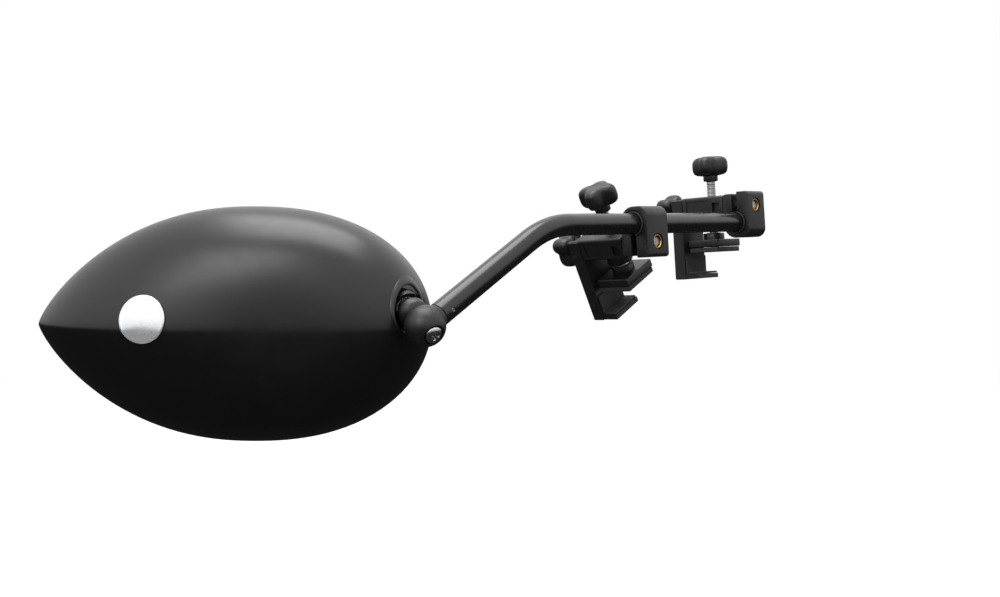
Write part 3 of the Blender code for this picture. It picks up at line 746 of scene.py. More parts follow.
def knurl_tree() -> Tree:
    """Straight knurl: small ribs set round the ring that comes in.

    Returns:
        The node tree, with inputs Radius, Ribs, Height and Middle.
    """
    tree, source, target = new_tree("straight_knurl", ("Radius", "Ribs", "Height", "Middle"))
    ring = tree.nodes.new("GeometryNodeMeshCircle")
    ring.label, ring.location = "Rib places", (-600, 200)
    rib = tree.nodes.new("GeometryNodeMeshCube")
    rib.label, rib.location = "Rib", (-350, -100)
    size = tree.nodes.new("ShaderNodeCombineXYZ")
    size.label, size.location = "Rib size", (-600, -100)
    size.inputs["X"].default_value = size.inputs["Y"].default_value = RIB_WIDTH
    spread = tree.nodes.new("GeometryNodeInstanceOnPoints")
    spread.label, spread.location = "Rib at each place", (-100, 100)
    outward = tree.nodes.new("FunctionNodeAlignRotationToVector")
    outward.label, outward.location, outward.axis = "Face outwards", (-350, -350), "X"
    where = tree.nodes.new("GeometryNodeInputPosition")
    where.label, where.location = "Where a rib is", (-600, -350)
    up = tree.nodes.new("ShaderNodeCombineXYZ")
    up.label, up.location = "Middle height", (-100, -200)
    move = tree.nodes.new("GeometryNodeTransform")
    move.label, move.location = "Lift to the middle", (100, 100)
    both = tree.nodes.new("GeometryNodeJoinGeometry")
    both.label, both.location = "Ring and ribs", (300, 0)
    links = tree.links
    links.new(source.outputs["Ribs"], ring.inputs["Vertices"])
    links.new(source.outputs["Radius"], ring.inputs["Radius"])
    links.new(source.outputs["Height"], size.inputs["Z"])
    links.new(size.outputs["Vector"], rib.inputs["Size"])
    links.new(where.outputs["Position"], outward.inputs["Vector"])
    links.new(ring.outputs["Mesh"], spread.inputs["Points"])
    links.new(rib.outputs["Mesh"], spread.inputs["Instance"])
    links.new(outward.outputs["Rotation"], spread.inputs["Rotation"])
    links.new(source.outputs["Middle"], up.inputs["Z"])
    links.new(spread.outputs["Instances"], move.inputs["Geometry"])
    links.new(up.outputs["Vector"], move.inputs["Translation"])
    links.new(source.outputs["Geometry"], both.inputs["Geometry"])
    links.new(move.outputs["Geometry"], both.inputs["Geometry"])
    close_tree(tree, source, target, both.outputs["Geometry"])
    return tree


def grown(name: str, bm: BMesh, tree: Tree, sizes: dict[str, float], slot: Slot,
          body: str, nodes: Sequence[str], place: Matrix) -> None:
    """Make a piece whose repeated detail a node tree adds.

    Args:
        name: Name of the piece.
        bm: Base mesh in its own frame.
        tree: Node tree that adds the detail.
        sizes: Value of each named input.
        slot: Material slot.
        body: CAD body that it rides on.
        nodes: CAD nodes that it stands for.
        place: Where it goes.
    """
    raw = bare(name + ".raw", bm)
    work = raw.modifiers.new("detail", "NODES")
    work.node_group = tree
    for label, value in sizes.items():
        work[input_id(tree, label)] = value
    work[input_id(tree, "Finish")] = MATERIALS[slot]
    bpy.context.view_layer.update()
    finish_piece(name, plain(raw, name), slot, body, nodes, place, SHARP)


# Head


@dataclass
class Head:
    """Mirror head: shell, crater rim, badge, glass, carrier and gasket.

    The head lies in its own frame: X along it, Y up, Z out of the back of the shell, and
    the origin in the rim plane. The curves are the powers that shape the outline, and the
    spans are lowest and highest places along the ball stud's axis, from the ball.
    """

    tip: float = -131.9 * MM
    end: float = 131.9 * MM
    widest: float = 12.0 * MM
    half_height: float = 78.6 * MM
    depth: float = 52.0 * MM
    wall: float = 2.5 * MM
    ridge_ease: float = 4.5 * MM
    ridge_slope: float = 0.16
    blunt_curve: Point2 = (2.3, 0.5)
    tip_curve: Point2 = (2.2, 0.78)
    crater_radius: float = 12.4 * MM
    crater_span: Point2 = (1.0 * MM, 25.0 * MM)
    pocket_radius: float = 9.9 * MM
    pocket_span: Point2 = (-12.0 * MM, 5.6 * MM)
    badge_radius: float = 15.3 * MM
    badge_centre: Point2 = (-48.5 * MM, 7.0 * MM)
    ball_in_head: Vector = field(default_factory=lambda: Vector((114.0, 16.3, 25.0)) * MM)
    right: Vector = field(default_factory=lambda: Vector((0.6871, -0.7266, 0.0)))
    front: Vector = field(default_factory=lambda: Vector((-0.7266, -0.6871, 0.0)))
    spokes: int = 144
    rings: int = 40
    edge_search: float = 0.16
    edge_halvings: int = 40
    face_search: Point2 = (-20.0 * MM, 40.0 * MM)
    face_halvings: int = 30

    def place(self) -> Matrix:
        """Head frame: X along the head, Y up, Z out of the back of the shell.

        Returns:
            The place as a matrix.
        """
        ball = self.ball_in_head
        centre = joint_point("head_turn") - ball.x * self.right - ball.y * UP - ball.z * self.front
        return placed(self.right, UP, self.front, centre)

    def edge_height(self, along: float) -> float:
        """Half height of the outline.

        Args:
            along: Place along the head.

        Returns:
            Half of the head's height there.
        """
        limit, curve = self.tip, self.tip_curve
        if along > self.widest:
            limit, curve = self.end, self.blunt_curve
        reach = min((along - self.widest) / (limit - self.widest), 1.0)
        return self.half_height * (1.0 - reach ** curve[0]) ** curve[1]

    def edge(self, angle: float) -> Point2:
        """Where a ray from the widest point meets the outline.

        Args:
            angle: Direction of the ray.

        Returns:
            The point on the outline.
        """
        across, up = math.cos(angle), math.sin(angle)
        low, high = 0.0, self.edge_search
        for _ in range(self.edge_halvings):
            middle = 0.5 * (low + high)
            along = self.widest + middle * across
            inside = self.tip < along < self.end and abs(middle * up) < self.edge_height(along)
            low, high = (middle, high) if inside else (low, middle)
        return (self.widest + low * across, low * up)

    @cached_property
    def edges(self) -> list[Point2]:
        """Where each spoke meets the outline."""
        return [self.edge(angle) for angle in self.angles()]

    def bulge(self, radial: float, angle: float, upward: float) -> float:
        """Depth of the shell over its rim.

        Args:
            radial: 0 at the widest point, 1 at the outline.
            angle: Direction from the widest point.
            upward: Height over the ridge line.

        Returns:
            The depth.
        """
        tip_share = 0.5 - 0.5 * math.cos(angle)
        power = 6.0 - 3.6 * tip_share ** 0.5
        root = 0.5 + 0.16 * tip_share
        ridge = self.ridge_slope * (math.hypot(upward, self.ridge_ease) - self.ridge_ease)
        height = max((self.depth - ridge) * (1.0 - radial ** power), 0.0)
        return height ** root * self.depth ** (1.0 - root)

    def level(self, x: float, y: float) -> float:
        """Height of the shell's outer face.

        Args:
            x: Place along the head.
            y: Place up the head.

        Returns:
            The height over the rim plane.
        """
        angle = math.atan2(y, x - self.widest)
        edge_x, edge_y = self.edge(angle)
        radial = math.hypot(x - self.widest, y) / math.hypot(edge_x - self.widest, edge_y)
        return self.bulge(min(radial, 1.0), angle, y)

    def angles(self) -> list[float]:
        """Directions of the spokes, closer together along the ridge.

        Returns:
            The angles.
        """
        return [turn - 0.4 * math.sin(2.0 * turn) for turn in around(self.spokes)]

    def skin(self, shrink: float) -> list[list[Point3]]:
        """Rows of points over the shell, from the widest point to the rim.

        Args:
            shrink: Distance inside the outer face.

        Returns:
            The rows.
        """
        rows = []
        for ring in range(self.rings + 1):
            radial = math.sin(0.5 * math.pi * ring / self.rings)
            flat = self.outline_row(shrink, radial, 0.0)
            row = [(x, y, max(self.bulge(radial, angle, y) - shrink, 0.0))
                   for angle, (x, y, _) in zip(self.angles(), flat)]
            rows.append(row if ring else row[:1])
        return rows

    def plate(self, shrink: float, low: float, high: float) -> BMesh:
        """Flat plate with the head's outline and rounded edges.

        Args:
            shrink: Distance inside the outline.
            low: Rear face.
            high: Front face.

        Returns:
            The new mesh.
        """
        ease = 0.25 * (high - low)
        eased = shrink + ease
        rows = [self.outline_row(inside, share, level) for inside, share, level in
                ((eased, 0.5, low), (eased, 1.0, low), (shrink, 1.0, low + ease),
                 (shrink, 1.0, high - ease), (eased, 1.0, high), (eased, 0.5, high))]
        return grid([[(self.widest, 0.0, low)], *rows, [(self.widest, 0.0, high)]])

    def outline_row(self, shrink: float, share: float, level: float) -> list[Point3]:
        """One ring that follows the outline.

        Args:
            shrink: Distance inside the outline.
            share: Share of the way from the widest point.
            level: Its height.

        Returns:
            The ring's points.
        """
        row = []
        for edge_x, edge_y in self.edges:
            reach = math.hypot(edge_x - self.widest, edge_y)
            scale = (reach - shrink) / reach * share
            row.append((self.widest + (edge_x - self.widest) * scale, edge_y * scale, level))
        return row

    def shell(self, place: Matrix, neck: Matrix) -> None:
        """The moulded shell with its crater and socket pocket.

        Args:
            place: The head frame.
            neck: Frame on the ball with Z towards the end cap.
        """
        rows = self.skin(0.0) + list(reversed(self.skin(self.wall)))
        into = place.inverted() @ neck
        piece("shell_fine", grid(rows), Slot.SHELL, "head", ("head_shell",), place,
              (Change(drum(self.crater_radius, *self.crater_span, FINE), into),
               Change(drum(self.pocket_radius, *self.pocket_span), into)), sharp=50.0)

    def crater_rim(self, place: Matrix, neck: Matrix) -> None:
        """Raised smooth lip that follows the shell round the crater.

        Args:
            place: The head frame.
            neck: Frame on the ball with Z towards the end cap.
        """
        # Outwards from the crater and up from the shell, in millimetres
        section = ((-0.12, -1.2), (-0.12, 0.5), (0.10, 1.0), (0.55, 1.35), (1.15, 1.45),
                   (1.8, 1.25), (2.4, 0.75), (2.8, 0.25), (3.3, -0.15), (3.3, -1.2))
        into = place.inverted() @ neck
        rows = []
        for out, lift in section:
            row = []
            radius = self.crater_radius + out * MM
            for turn in around(FINE):
                start = Vector((radius * math.cos(turn), radius * math.sin(turn), 0.0))
                row.append(into @ (start + (self.surface_along(into, start) + lift * MM) * UP))
            rows.append(row)
        piece("crater_lip", grid(rows, closed=True), Slot.SHELL, "head", (), place, sharp=60.0)

    def surface_along(self, into: Matrix, start: Vector) -> float:
        """How far along the neck the shell's face lies.

        Args:
            into: Neck frame in the head frame.
            start: Point across the neck axis.

        Returns:
            Distance along the neck axis to the face.
        """
        low, high = self.face_search
        for _ in range(self.face_halvings):
            middle = 0.5 * (low + high)
            point = into @ (start + Vector((0.0, 0.0, middle)))
            edge_x, edge_y = self.edge(math.atan2(point.y, point.x - self.widest))
            reach = math.hypot(edge_x - self.widest, edge_y)
            beyond = math.hypot(point.x - self.widest, point.y) >= reach
            outside = beyond or point.z > self.level(point.x, point.y)
            low, high = (low, middle) if outside else (middle, high)
        return low

    def badge(self, place: Matrix) -> None:
        """Blank round disc that follows the shell.

        Args:
            place: The head frame.
        """
        # Share of the disc's radius, and height over the shell in millimetres
        section = ((0.0, 0.6), (0.5, 0.6), (1.0, 0.6), (1.0, 1.15), (0.985, 1.4), (0.96, 1.52),
                   (0.92, 1.58), (0.88, 1.44), (0.84, 1.44), (0.7, 1.5), (0.5, 1.55), (0.25, 1.6),
                   (0.0, 1.6))
        rows = []
        for share, lift in section:
            row = []
            for turn in around(FINE):
                x = self.badge_centre[0] + share * self.badge_radius * math.cos(turn)
                y = self.badge_centre[1] + share * self.badge_radius * math.sin(turn)
                row.append((x, y, self.level(x, y) + lift * MM))
            rows.append(row if share else row[:1])
        piece("badge_fine", grid(rows), Slot.BADGE, "head", ("badge_disc",), place, sharp=60.0)

    def build(self) -> None:
        """Make every fine piece of the head."""
        place = self.place()
        neck = aim(joint_point("knuckle_turn") - joint_point("head_turn"), joint_point("head_turn"))
        self.shell(place, neck)
        self.crater_rim(place, neck)
        self.badge(place)
        piece("glass_fine", self.plate(6.5 * MM, 0.8 * MM, 2.6 * MM), Slot.MIRROR, "head",
              ("mirror_glass",), place)
        piece("carrier_fine", self.plate(7.6 * MM, 2.9 * MM, 4.6 * MM), Slot.PLASTIC, "head",
              ("glass_carrier",), place)
        section = in_mm((5.0, 0.7), (5.25, 0.35), (5.9, 0.3), (6.2, 0.5), (6.2, 3.0), (5.0, 3.0))
        rows = [self.outline_row(inside, 1.0, level) for inside, level in section]
        piece("gasket_fine", grid(rows, closed=True), Slot.RUBBER, "head", ("glass_gasket",), place)


# Arm and ball joint


@dataclass
class Arm:
    """Bent tube, end cap, plug, ball stud and pivot screw.

    The tube lies in its own frame: X inboard along its straight part. Distances that start
    with cap_to run from the centre of the end cap.
    """

    tube_radius: float = 8.0 * MM
    tube_wall: float = 1.5 * MM
    tube_steps: int = 64
    drop: float = math.radians(28.0)
    bend_vertex: float = 94.0 * MM
    bend_radius: float = 92.0 * MM
    bend_steps: int = 24
    cap_x: float = -23.7 * MM
    inner_end: float = 364.0 * MM
    cap_radius: float = 13.4 * MM
    cap_to_tube: float = 12.7 * MM
    cap_to_pin: float = 20.0 * MM
    cap_to_ball: float = 30.7 * MM
    ball_radius: float = 6.5 * MM
    stud_radius: float = 9.9 * MM

    def cap_centre(self) -> Vector:
        """Centre of the end cap in the tube's frame.

        Returns:
            The point.
        """
        return Vector((self.cap_x, 0.0, -(self.bend_vertex - self.cap_x) * math.tan(self.drop)))

    def direction(self) -> Vector:
        """Direction from the end cap up along the tube.

        Returns:
            The unit vector.
        """
        return Vector((math.cos(self.drop), 0.0, math.sin(self.drop)))

    def base(self) -> Matrix:
        """The tube's frame in the object's frame.

        Returns:
            The place as a matrix.
        """
        return Matrix.Translation(joint_point("knuckle_turn") - self.cap_centre())

    def route(self) -> list[Vector]:
        """Centreline of the tube.

        Returns:
            The points, inner end first.
        """
        tangent = self.bend_radius * math.tan(self.drop / 2.0)
        centre = Vector((self.bend_vertex + tangent, 0.0, -self.bend_radius))
        points = [Vector((self.inner_end, 0.0, 0.0))]
        for step in range(self.bend_steps + 1):
            angle = self.drop * step / self.bend_steps
            outwards = Vector((-math.sin(angle), 0.0, math.cos(angle)))
            points.append(centre + self.bend_radius * outwards)
        points.append(self.cap_centre() + self.cap_to_tube * self.direction())
        return points

    def tube(self) -> BMesh:
        """Hollow tube with eased ends.

        Returns:
            The new mesh.
        """
        points = self.route()
        ease = 0.5 * MM
        first, last = points[0], points[-1]
        inward = (points[1] - first).normalized()
        outward = (points[-2] - last).normalized()
        stations = [(first, self.tube_radius - ease), (first + ease * inward, self.tube_radius)]
        stations += [(point, self.tube_radius) for point in points[1:-1]]
        stations += [(last + ease * outward, self.tube_radius), (last, self.tube_radius - ease)]
        stations += [(point, self.tube_radius - self.tube_wall) for point in reversed(points)]
        centres = [station[0] for station in stations]
        half = len(points) + 2
        rows = []
        for index, (point, radius) in enumerate(stations):
            low, high = (0, half - 1) if index < half else (half, len(stations) - 1)
            along = centres[min(index + 1, high)] - centres[max(index - 1, low)]
            up = along.normalized().cross(REARWARD) * (1.0 if index < half else -1.0)
            rows.append([point + radius * (math.cos(turn) * REARWARD + math.sin(turn) * up)
                         for turn in around(self.tube_steps)])
        return grid(rows, closed=True)

    def cap(self, place: Matrix, neck: Matrix) -> None:
        """End cap with its screw recess, stud seat and spigot.

        Args:
            place: Frame on the cap's centre with Z along the tube.
            neck: Frame on the cap's centre with Z towards the ball.
        """
        into = place.inverted() @ neck
        start = math.degrees(math.acos(6.2 * MM / self.cap_radius))
        profile = arc((0.0, 0.0), self.cap_radius, -90.0, start - 12.0, 44)
        profile[0] = (0.0, -self.cap_radius)
        profile += in_mm((8.2, 12.1), (7.9, 12.4), (6.2, 12.4), (6.2, 27.0), (5.2, 28.0),
                         (0.0, 28.0))
        recess = in_mm((0.0, -20.0), (8.6, -20.0), (7.5, -12.0), (6.9, -11.2), (6.6, -10.6),
                       (6.6, -8.9), (0.0, -8.9))
        piece("end_cap_fine", turned(profile), Slot.PLASTIC, "arm", ("arm_end_cap",), place,
              (Change(drum(3.3 * MM, -19.0 * MM, 19.0 * MM), into),
               Change(turned(recess, MEDIUM), into),
               Change(drum(14.0 * MM, 8.7 * MM, 20.0 * MM, FINE), into)))

    def stud(self, neck: Matrix) -> None:
        """Ball stud with a waisted collar under its ball.

        Args:
            neck: Frame on the cap's centre with Z towards the ball.
        """
        ball = arc((0.0, self.cap_to_ball), self.ball_radius, -48.6, 90.0, 30)
        ball[-1] = (0.0, self.cap_to_ball + self.ball_radius)
        full = self.stud_radius
        profile = in_mm((0.0, 20.5), (3.6, 20.5), (3.6, 10.2), (7.0, 10.2), (7.4, 10.4))
        profile += [(full - 0.3 * MM, 13.8 * MM), (full, 14.4 * MM), (full, 18.4 * MM)]
        profile += in_mm((9.75, 19.3), (9.3, 20.2), (8.6, 20.9), (7.0, 21.7), (5.2, 22.1),
                         (4.3, 22.4), (4.25, 24.0))
        piece("ball_stud_fine", turned(profile + ball), Slot.PLASTIC, "knuckle", ("ball_stud",),
              neck)

    def screw(self, neck: Matrix) -> None:
        """Pan-head pivot screw with a cross recess.

        Args:
            neck: Frame on the cap's centre with Z towards the ball.
        """
        rim = arc((4.2 * MM, -10.6 * MM), 1.7 * MM, 0.0, -50.0, 8)
        head = in_mm((0.0, 19.5), (3.0, 19.5), (3.0, -9.2), (5.6, -9.2), (5.85, -9.5)) + rim
        head += in_mm((4.4, -12.6), (3.0, -13.2), (1.5, -13.5), (0.0, -13.6))
        bottom, ledge, top = -11.4 * MM, -11.8 * MM, -14.5 * MM
        wings = []
        for turn in (0.0, 0.5 * math.pi):
            rows = [[(0.0, 0.0, bottom)]]
            for x, y, z in ((1.9 * MM, 0.5 * MM, ledge), (3.9 * MM, 0.85 * MM, top)):
                rows.append([(x, y, z), (-x, y, z), (-x, -y, z), (x, -y, z)])
            rows.append([(0.0, 0.0, top)])
            wings.append(Change(grid(rows), Matrix.Rotation(turn, 4, "Z")))
        piece("pivot_screw_fine", turned(head, MEDIUM), Slot.STAINLESS, "knuckle",
              ("pivot_screw",), neck, wings)

    def build(self) -> None:
        """Make every fine piece of the arm and its ball joint."""
        base = self.base()
        cap = self.cap_centre()
        neck = base @ aim(joint_point("head_turn") - joint_point("knuckle_turn"), cap)
        pin = aim(REARWARD, cap + self.cap_to_pin * self.direction())
        piece("tube_fine", self.tube(), Slot.PAINT, "arm", ("arm_tube",), base,
              (Change(drum(1.8 * MM, -12.0 * MM, 12.0 * MM, 32), pin),))
        inward = (Matrix.Translation((self.inner_end, 0.0, 0.0))
                  @ Matrix.Rotation(math.pi / 2.0, 4, "Y"))
        plug = in_mm((0.0, -12.0), (5.2, -12.0), (6.1, -9.0), (6.1, 0.3), (7.7, 0.3), (7.9, 0.5),
                     (7.9, 1.0), (7.6, 1.6), (7.0, 2.0), (5.6, 2.25), (0.0, 2.3))
        piece("end_plug_fine", turned(plug), Slot.PLASTIC, "arm", ("arm_end_plug",), base @ inward)
        self.cap(base @ aim(self.direction(), cap), neck)
        self.stud(neck)
        self.screw(neck)


# Clamps


BODIES: dict[str, Sequence[str]] = frame["record"]["behaviour"]["bodies"]
BODY_OF: dict[str, str] = {node: body for body, nodes in BODIES.items() for node in nodes}
THREAD: Tree = thread_tree()
KNURL: Tree = knurl_tree()


@dataclass
class Clamp:
    """One clamp: collar, body, knobs, press screw and pad.

    Its body lies in its own frame, from the bolt: Y rearwards along the bolt, Z up along
    the press screw.
    """

    side: Side
    tube_radius: float = 8.0 * MM
    liner_radius: float = 9.4 * MM
    bolt_offset: float = 14.3 * MM
    collar_width: float = 27.0 * MM
    collar_radius: float = 13.3 * MM
    body_low: Vector = field(default_factory=lambda: Vector((-13.0, 12.0, -8.0)) * MM)
    body_high: Vector = field(default_factory=lambda: Vector((21.0, 55.0, 10.0)) * MM)
    boss_bottom: float = -20.0 * MM
    hole_radius: float = 4.3 * MM
    screw_root: float = 3.45 * MM
    ridge: float = 0.43 * MM
    pitch: float = 1.25 * MM
    press_axis: Vector = field(default_factory=lambda: Vector((10.0, 37.5, 0.0)) * MM)
    ball_z: float = -25.0 * MM
    ball_radius: float = 5.5 * MM
    pad_size: Point2 = (37.4 * MM, 30.0 * MM)
    pad_bottom: float = -38.8 * MM
    knob_radius: float = 16.3 * MM
    press_knob_z: float = 24.7 * MM
    clamp_knob_y: float = 61.8 * MM

    def named(self, name: str) -> str:
        """Name of one of the clamp's CAD nodes or joints.

        Args:
            name: Name without the side.

        Returns:
            The full name.
        """
        return f"{self.side.value}_{name}"

    def make(self, node: str, bm: BMesh, slot: Slot, place: Matrix,
             changes: Sequence[Change] = (), round_off: float = 0.0) -> None:
        """Make the fine piece that stands for one of the clamp's CAD nodes.

        Args:
            node: The node's name without the side.
            bm: Mesh in its own frame.
            slot: Material slot.
            place: Where it goes.
            changes: Boolean steps.
            round_off: Width of the rounded edges.
        """
        full = self.named(node)
        piece(full + "_fine", bm, slot, BODY_OF[full], (full,), place, changes, round_off)

    def bolt_point(self) -> Vector:
        """Point on the bolt's axis that both frames start from.

        Returns:
            The point.
        """
        return joint_point(self.named("swing"))

    def body_place(self) -> Matrix:
        """Body frame: Y rearwards along the bolt, Z up along the press screw.

        Returns:
            The place as a matrix.
        """
        rear, up = joint_axis(self.named("swing")), joint_axis(self.named("press_turn"))
        return placed(rear.cross(up), rear, up, self.bolt_point())

    def collar_place(self) -> Matrix:
        """Collar frame: Y rearwards along the bolt, Z from the bolt to the tube.

        Returns:
            The place as a matrix.
        """
        rear = joint_axis(self.named("swing"))
        to_tube = joint_point(self.named("roll")) - self.bolt_point()
        to_tube = (to_tube - to_tube.dot(rear) * rear).normalized()
        return placed(rear.cross(to_tube), rear, to_tube, self.bolt_point())

    def collar(self) -> None:
        """Collar with its rounded arch, the grip liner and the knurled brass insert."""
        spun = Matrix(((0, 0, 1, 0), (1, 0, 0, 0), (0, 1, 0, 0), (0, 0, 0, 1)))
        place = self.collar_place()
        half = self.collar_width / 2.0
        bore = self.liner_radius + GAP
        low_slot, high_slot = -2.0 * MM, 3.0 * MM
        first = math.degrees(math.atan2(-math.sqrt(bore ** 2 - high_slot ** 2), high_slot))
        last = math.degrees(math.atan2(-math.sqrt(bore ** 2 - low_slot ** 2), low_slot)) + 360.0
        rear, round_rear, top = 11.7 * MM, 11.4 * MM, self.bolt_offset + self.collar_radius
        outline = arc((rear - round_rear, top - round_rear), round_rear, 0.0, 90.0, 24)
        outline += arc((-self.collar_radius + 8.0 * MM, top - 8.0 * MM), 8.0 * MM, 90.0, 180.0, 18)
        outline += arc((-self.collar_radius + 3.0 * MM, -9.0 * MM), 3.0 * MM, 180.0, 270.0, 10)
        outline += [(low_slot, -12.0 * MM)]
        outline += list(reversed(arc((0.0, self.bolt_offset), bore, first, last, 72)))
        outline += [(high_slot, -10.5 * MM), (rear - 3.0 * MM, -10.5 * MM)]
        outline += arc((rear - 3.0 * MM, -7.5 * MM), 3.0 * MM, -80.0, 0.0, 8)
        into = spun.inverted() @ aim(REARWARD, ORIGIN)
        self.make("collar", extruded(outline, -half, half), Slot.PLASTIC, place @ spun,
                  (Change(drum(self.hole_radius, -20.0 * MM, 20.0 * MM), into),
                   Change(drum(6.2 * MM, -20.0 * MM, -3.5 * MM), into)), 0.9 * MM)
        split = arc((0.0, self.bolt_offset), self.liner_radius, -78.0, 258.0, 72)
        split += arc((0.0, self.bolt_offset), self.tube_radius + GAP, 258.0, -78.0, 72)
        proud = 0.8 * MM
        self.make("grip_liner", extruded(split, -half - proud, half + proud), Slot.RUBBER,
                  place @ spun, (), 0.3 * MM)
        self.insert("brass_insert", place @ aim(REARWARD, ORIGIN), -12.6 * MM, -4.4 * MM)

    def insert(self, node: str, place: Matrix, low: float, high: float) -> None:
        """Knurled brass insert.

        Args:
            node: The CAD node's name without the side.
            place: Frame with Z along the insert.
            low: Its outer end.
            high: Its inner end.
        """
        bore, wide = 4.15 * MM, 5.6 * MM
        ring = [(bore, low + 0.5 * MM), (4.6 * MM, low), (5.2 * MM, low),
                (5.55 * MM, low + 0.35 * MM), (wide, low + 0.8 * MM), (wide, high), (bore, high)]
        full = self.named(node)
        grown(full + "_fine", turned(ring), KNURL,
              {"Radius": 5.5 * MM, "Ribs": 36.0, "Height": high - low - 1.8 * MM,
               "Middle": 0.5 * (low + high)},
              Slot.BRASS, BODY_OF[full], (full,), place)

    def threaded(self, node: str, place: Matrix, low: float, high: float, start: float,
                 length: float) -> None:
        """Zinc stud with a wound thread.

        Args:
            node: The CAD node's name without the side.
            place: Frame with Z along the stud.
            low: Its lower end.
            high: Its upper end.
            start: Where the thread starts.
            length: Length of the thread.
        """
        root = self.screw_root
        core = [(0.0, low), (root - 0.5 * MM, low), (root, low + 0.5 * MM), (root, high - 0.5 * MM),
                (root - 0.5 * MM, high), (0.0, high)]
        full = self.named(node)
        grown(full + "_fine", turned(core, MEDIUM), THREAD,
              {"Root": root, "Turns": length / self.pitch, "Length": length, "Start": start,
               "Ridge": self.ridge},
              Slot.ZINC, BODY_OF[full], (full,), place)

    def knob(self, node: str, place: Matrix) -> None:
        """Four-lobed hand knob on a round hub.

        Args:
            node: The CAD node's name without the side.
            place: Frame on the hub's foot with Z through the knob.
        """
        # Height and radius of the hub, in millimetres
        section = [(0.0, 5.6), (0.25, 6.1), (1.0, 6.4), (4.6, 6.4)]
        # Height in millimetres, and share of the knob's radius
        lobed = [(5.0, 0.46), (5.3, 0.62), (5.7, 0.76), (6.4, 0.85), (7.4, 0.92), (8.8, 0.965),
                 (11.0, 1.0), (13.5, 1.003), (16.0, 1.0), (17.6, 0.98), (19.0, 0.94),
                 (20.2, 0.87), (21.1, 0.78), (21.6, 0.69), (21.9, 0.58), (22.0, 0.46),
                 (21.9, 0.36), (21.55, 0.30), (21.5, 0.15)]
        rows = [[(0.0, 0.0, 0.0)]]
        turns = around(128)
        for height, radius in section:
            wide = radius * MM
            rows.append([(wide * math.cos(turn), wide * math.sin(turn), height * MM)
                         for turn in turns])
        for height, size in lobed:
            row = []
            for turn in turns:
                valley = (0.5 - 0.5 * math.cos(4.0 * turn)) ** 1.2
                depth = 0.34 * min(1.0, size / 0.6) ** 2
                wide = self.knob_radius * size * (1.0 - depth * valley)
                row.append((wide * math.cos(turn), wide * math.sin(turn), height * MM))
            rows.append(row)
        rows.append([(0.0, 0.0, 21.5 * MM)])
        self.make(node, grid(rows), Slot.PLASTIC, place)

    def body(self) -> None:
        """Clamp body with its boss, holes and nut pocket, and the press insert."""
        place = self.body_place()
        press = Matrix.Translation(self.press_axis)
        low, high = self.body_low, self.body_high
        foot, wide = self.boss_bottom, 10.3 * MM
        boss = [(0.0, foot), (9.4 * MM, foot), (10.1 * MM, foot + 0.3 * MM),
                (wide, foot + 1.0 * MM), (wide, 1.0 * MM), (0.0, 1.0 * MM)]
        pocket = block((low.x - MM, 16.0 * MM, -4.0 * MM), (low.x + 2.5 * MM, 23.0 * MM, 4.0 * MM))
        recess = block((low.x - MM, 30.0 * MM, -4.6 * MM), (low.x + 0.7 * MM, 50.0 * MM, 6.6 * MM))
        changes = (Change(turned(boss), press, "UNION"),
                   Change(drum(self.hole_radius, 5.0 * MM, 80.0 * MM), aim(REARWARD, ORIGIN)),
                   Change(drum(self.hole_radius, -40.0 * MM, 20.0 * MM), press),
                   Change(drum(6.2 * MM, -40.0 * MM, -11.7 * MM), press), Change(pocket),
                   Change(recess))
        self.make("clamp_body", block(low, high), Slot.PLASTIC, place, changes, 1.9 * MM)
        turned_over = place @ press @ Matrix.Rotation(math.pi, 4, "X")
        self.insert("press_insert", turned_over, 12.0 * MM, -self.boss_bottom - 0.2 * MM)

    def rear_knob(self) -> None:
        """Long bolt and rear knob."""
        along = self.body_place() @ aim(REARWARD, ORIGIN)
        self.threaded("clamp_bolt", along, -11.2 * MM, 76.0 * MM, -10.6 * MM, 20.0 * MM)
        start = Matrix.Translation((0.0, 0.0, self.clamp_knob_y)) @ Matrix.Rotation(0.5, 4, "Z")
        self.knob("clamp_knob", along @ start)

    def press(self) -> None:
        """Press screw, its knob, swivel ball, pad holder and rubber pad."""
        up = self.body_place() @ Matrix.Translation(self.press_axis)
        low, high = self.ball_z - 0.6 * MM, self.press_knob_z + 14.0 * MM
        self.threaded("press_screw", up, low, high, self.ball_z + 6.0 * MM,
                      self.press_knob_z - self.ball_z - 6.0 * MM)
        self.knob("press_knob", up @ Matrix.Translation((0.0, 0.0, self.press_knob_z))
                  @ Matrix.Rotation(0.2, 4, "Z"))
        pivot = up @ Matrix.Translation((0.0, 0.0, self.ball_z))
        bore = 4.1 * MM
        first = math.degrees(math.acos(bore / self.ball_radius))
        ball = [(0.0, -MM), (bore, -MM)] + arc((0.0, 0.0), self.ball_radius, first, -90.0, 32)
        ball[-1] = (0.0, -self.ball_radius)
        self.make("swivel_ball", turned(ball, MEDIUM), Slot.NYLON, pivot)
        self.pad(pivot)

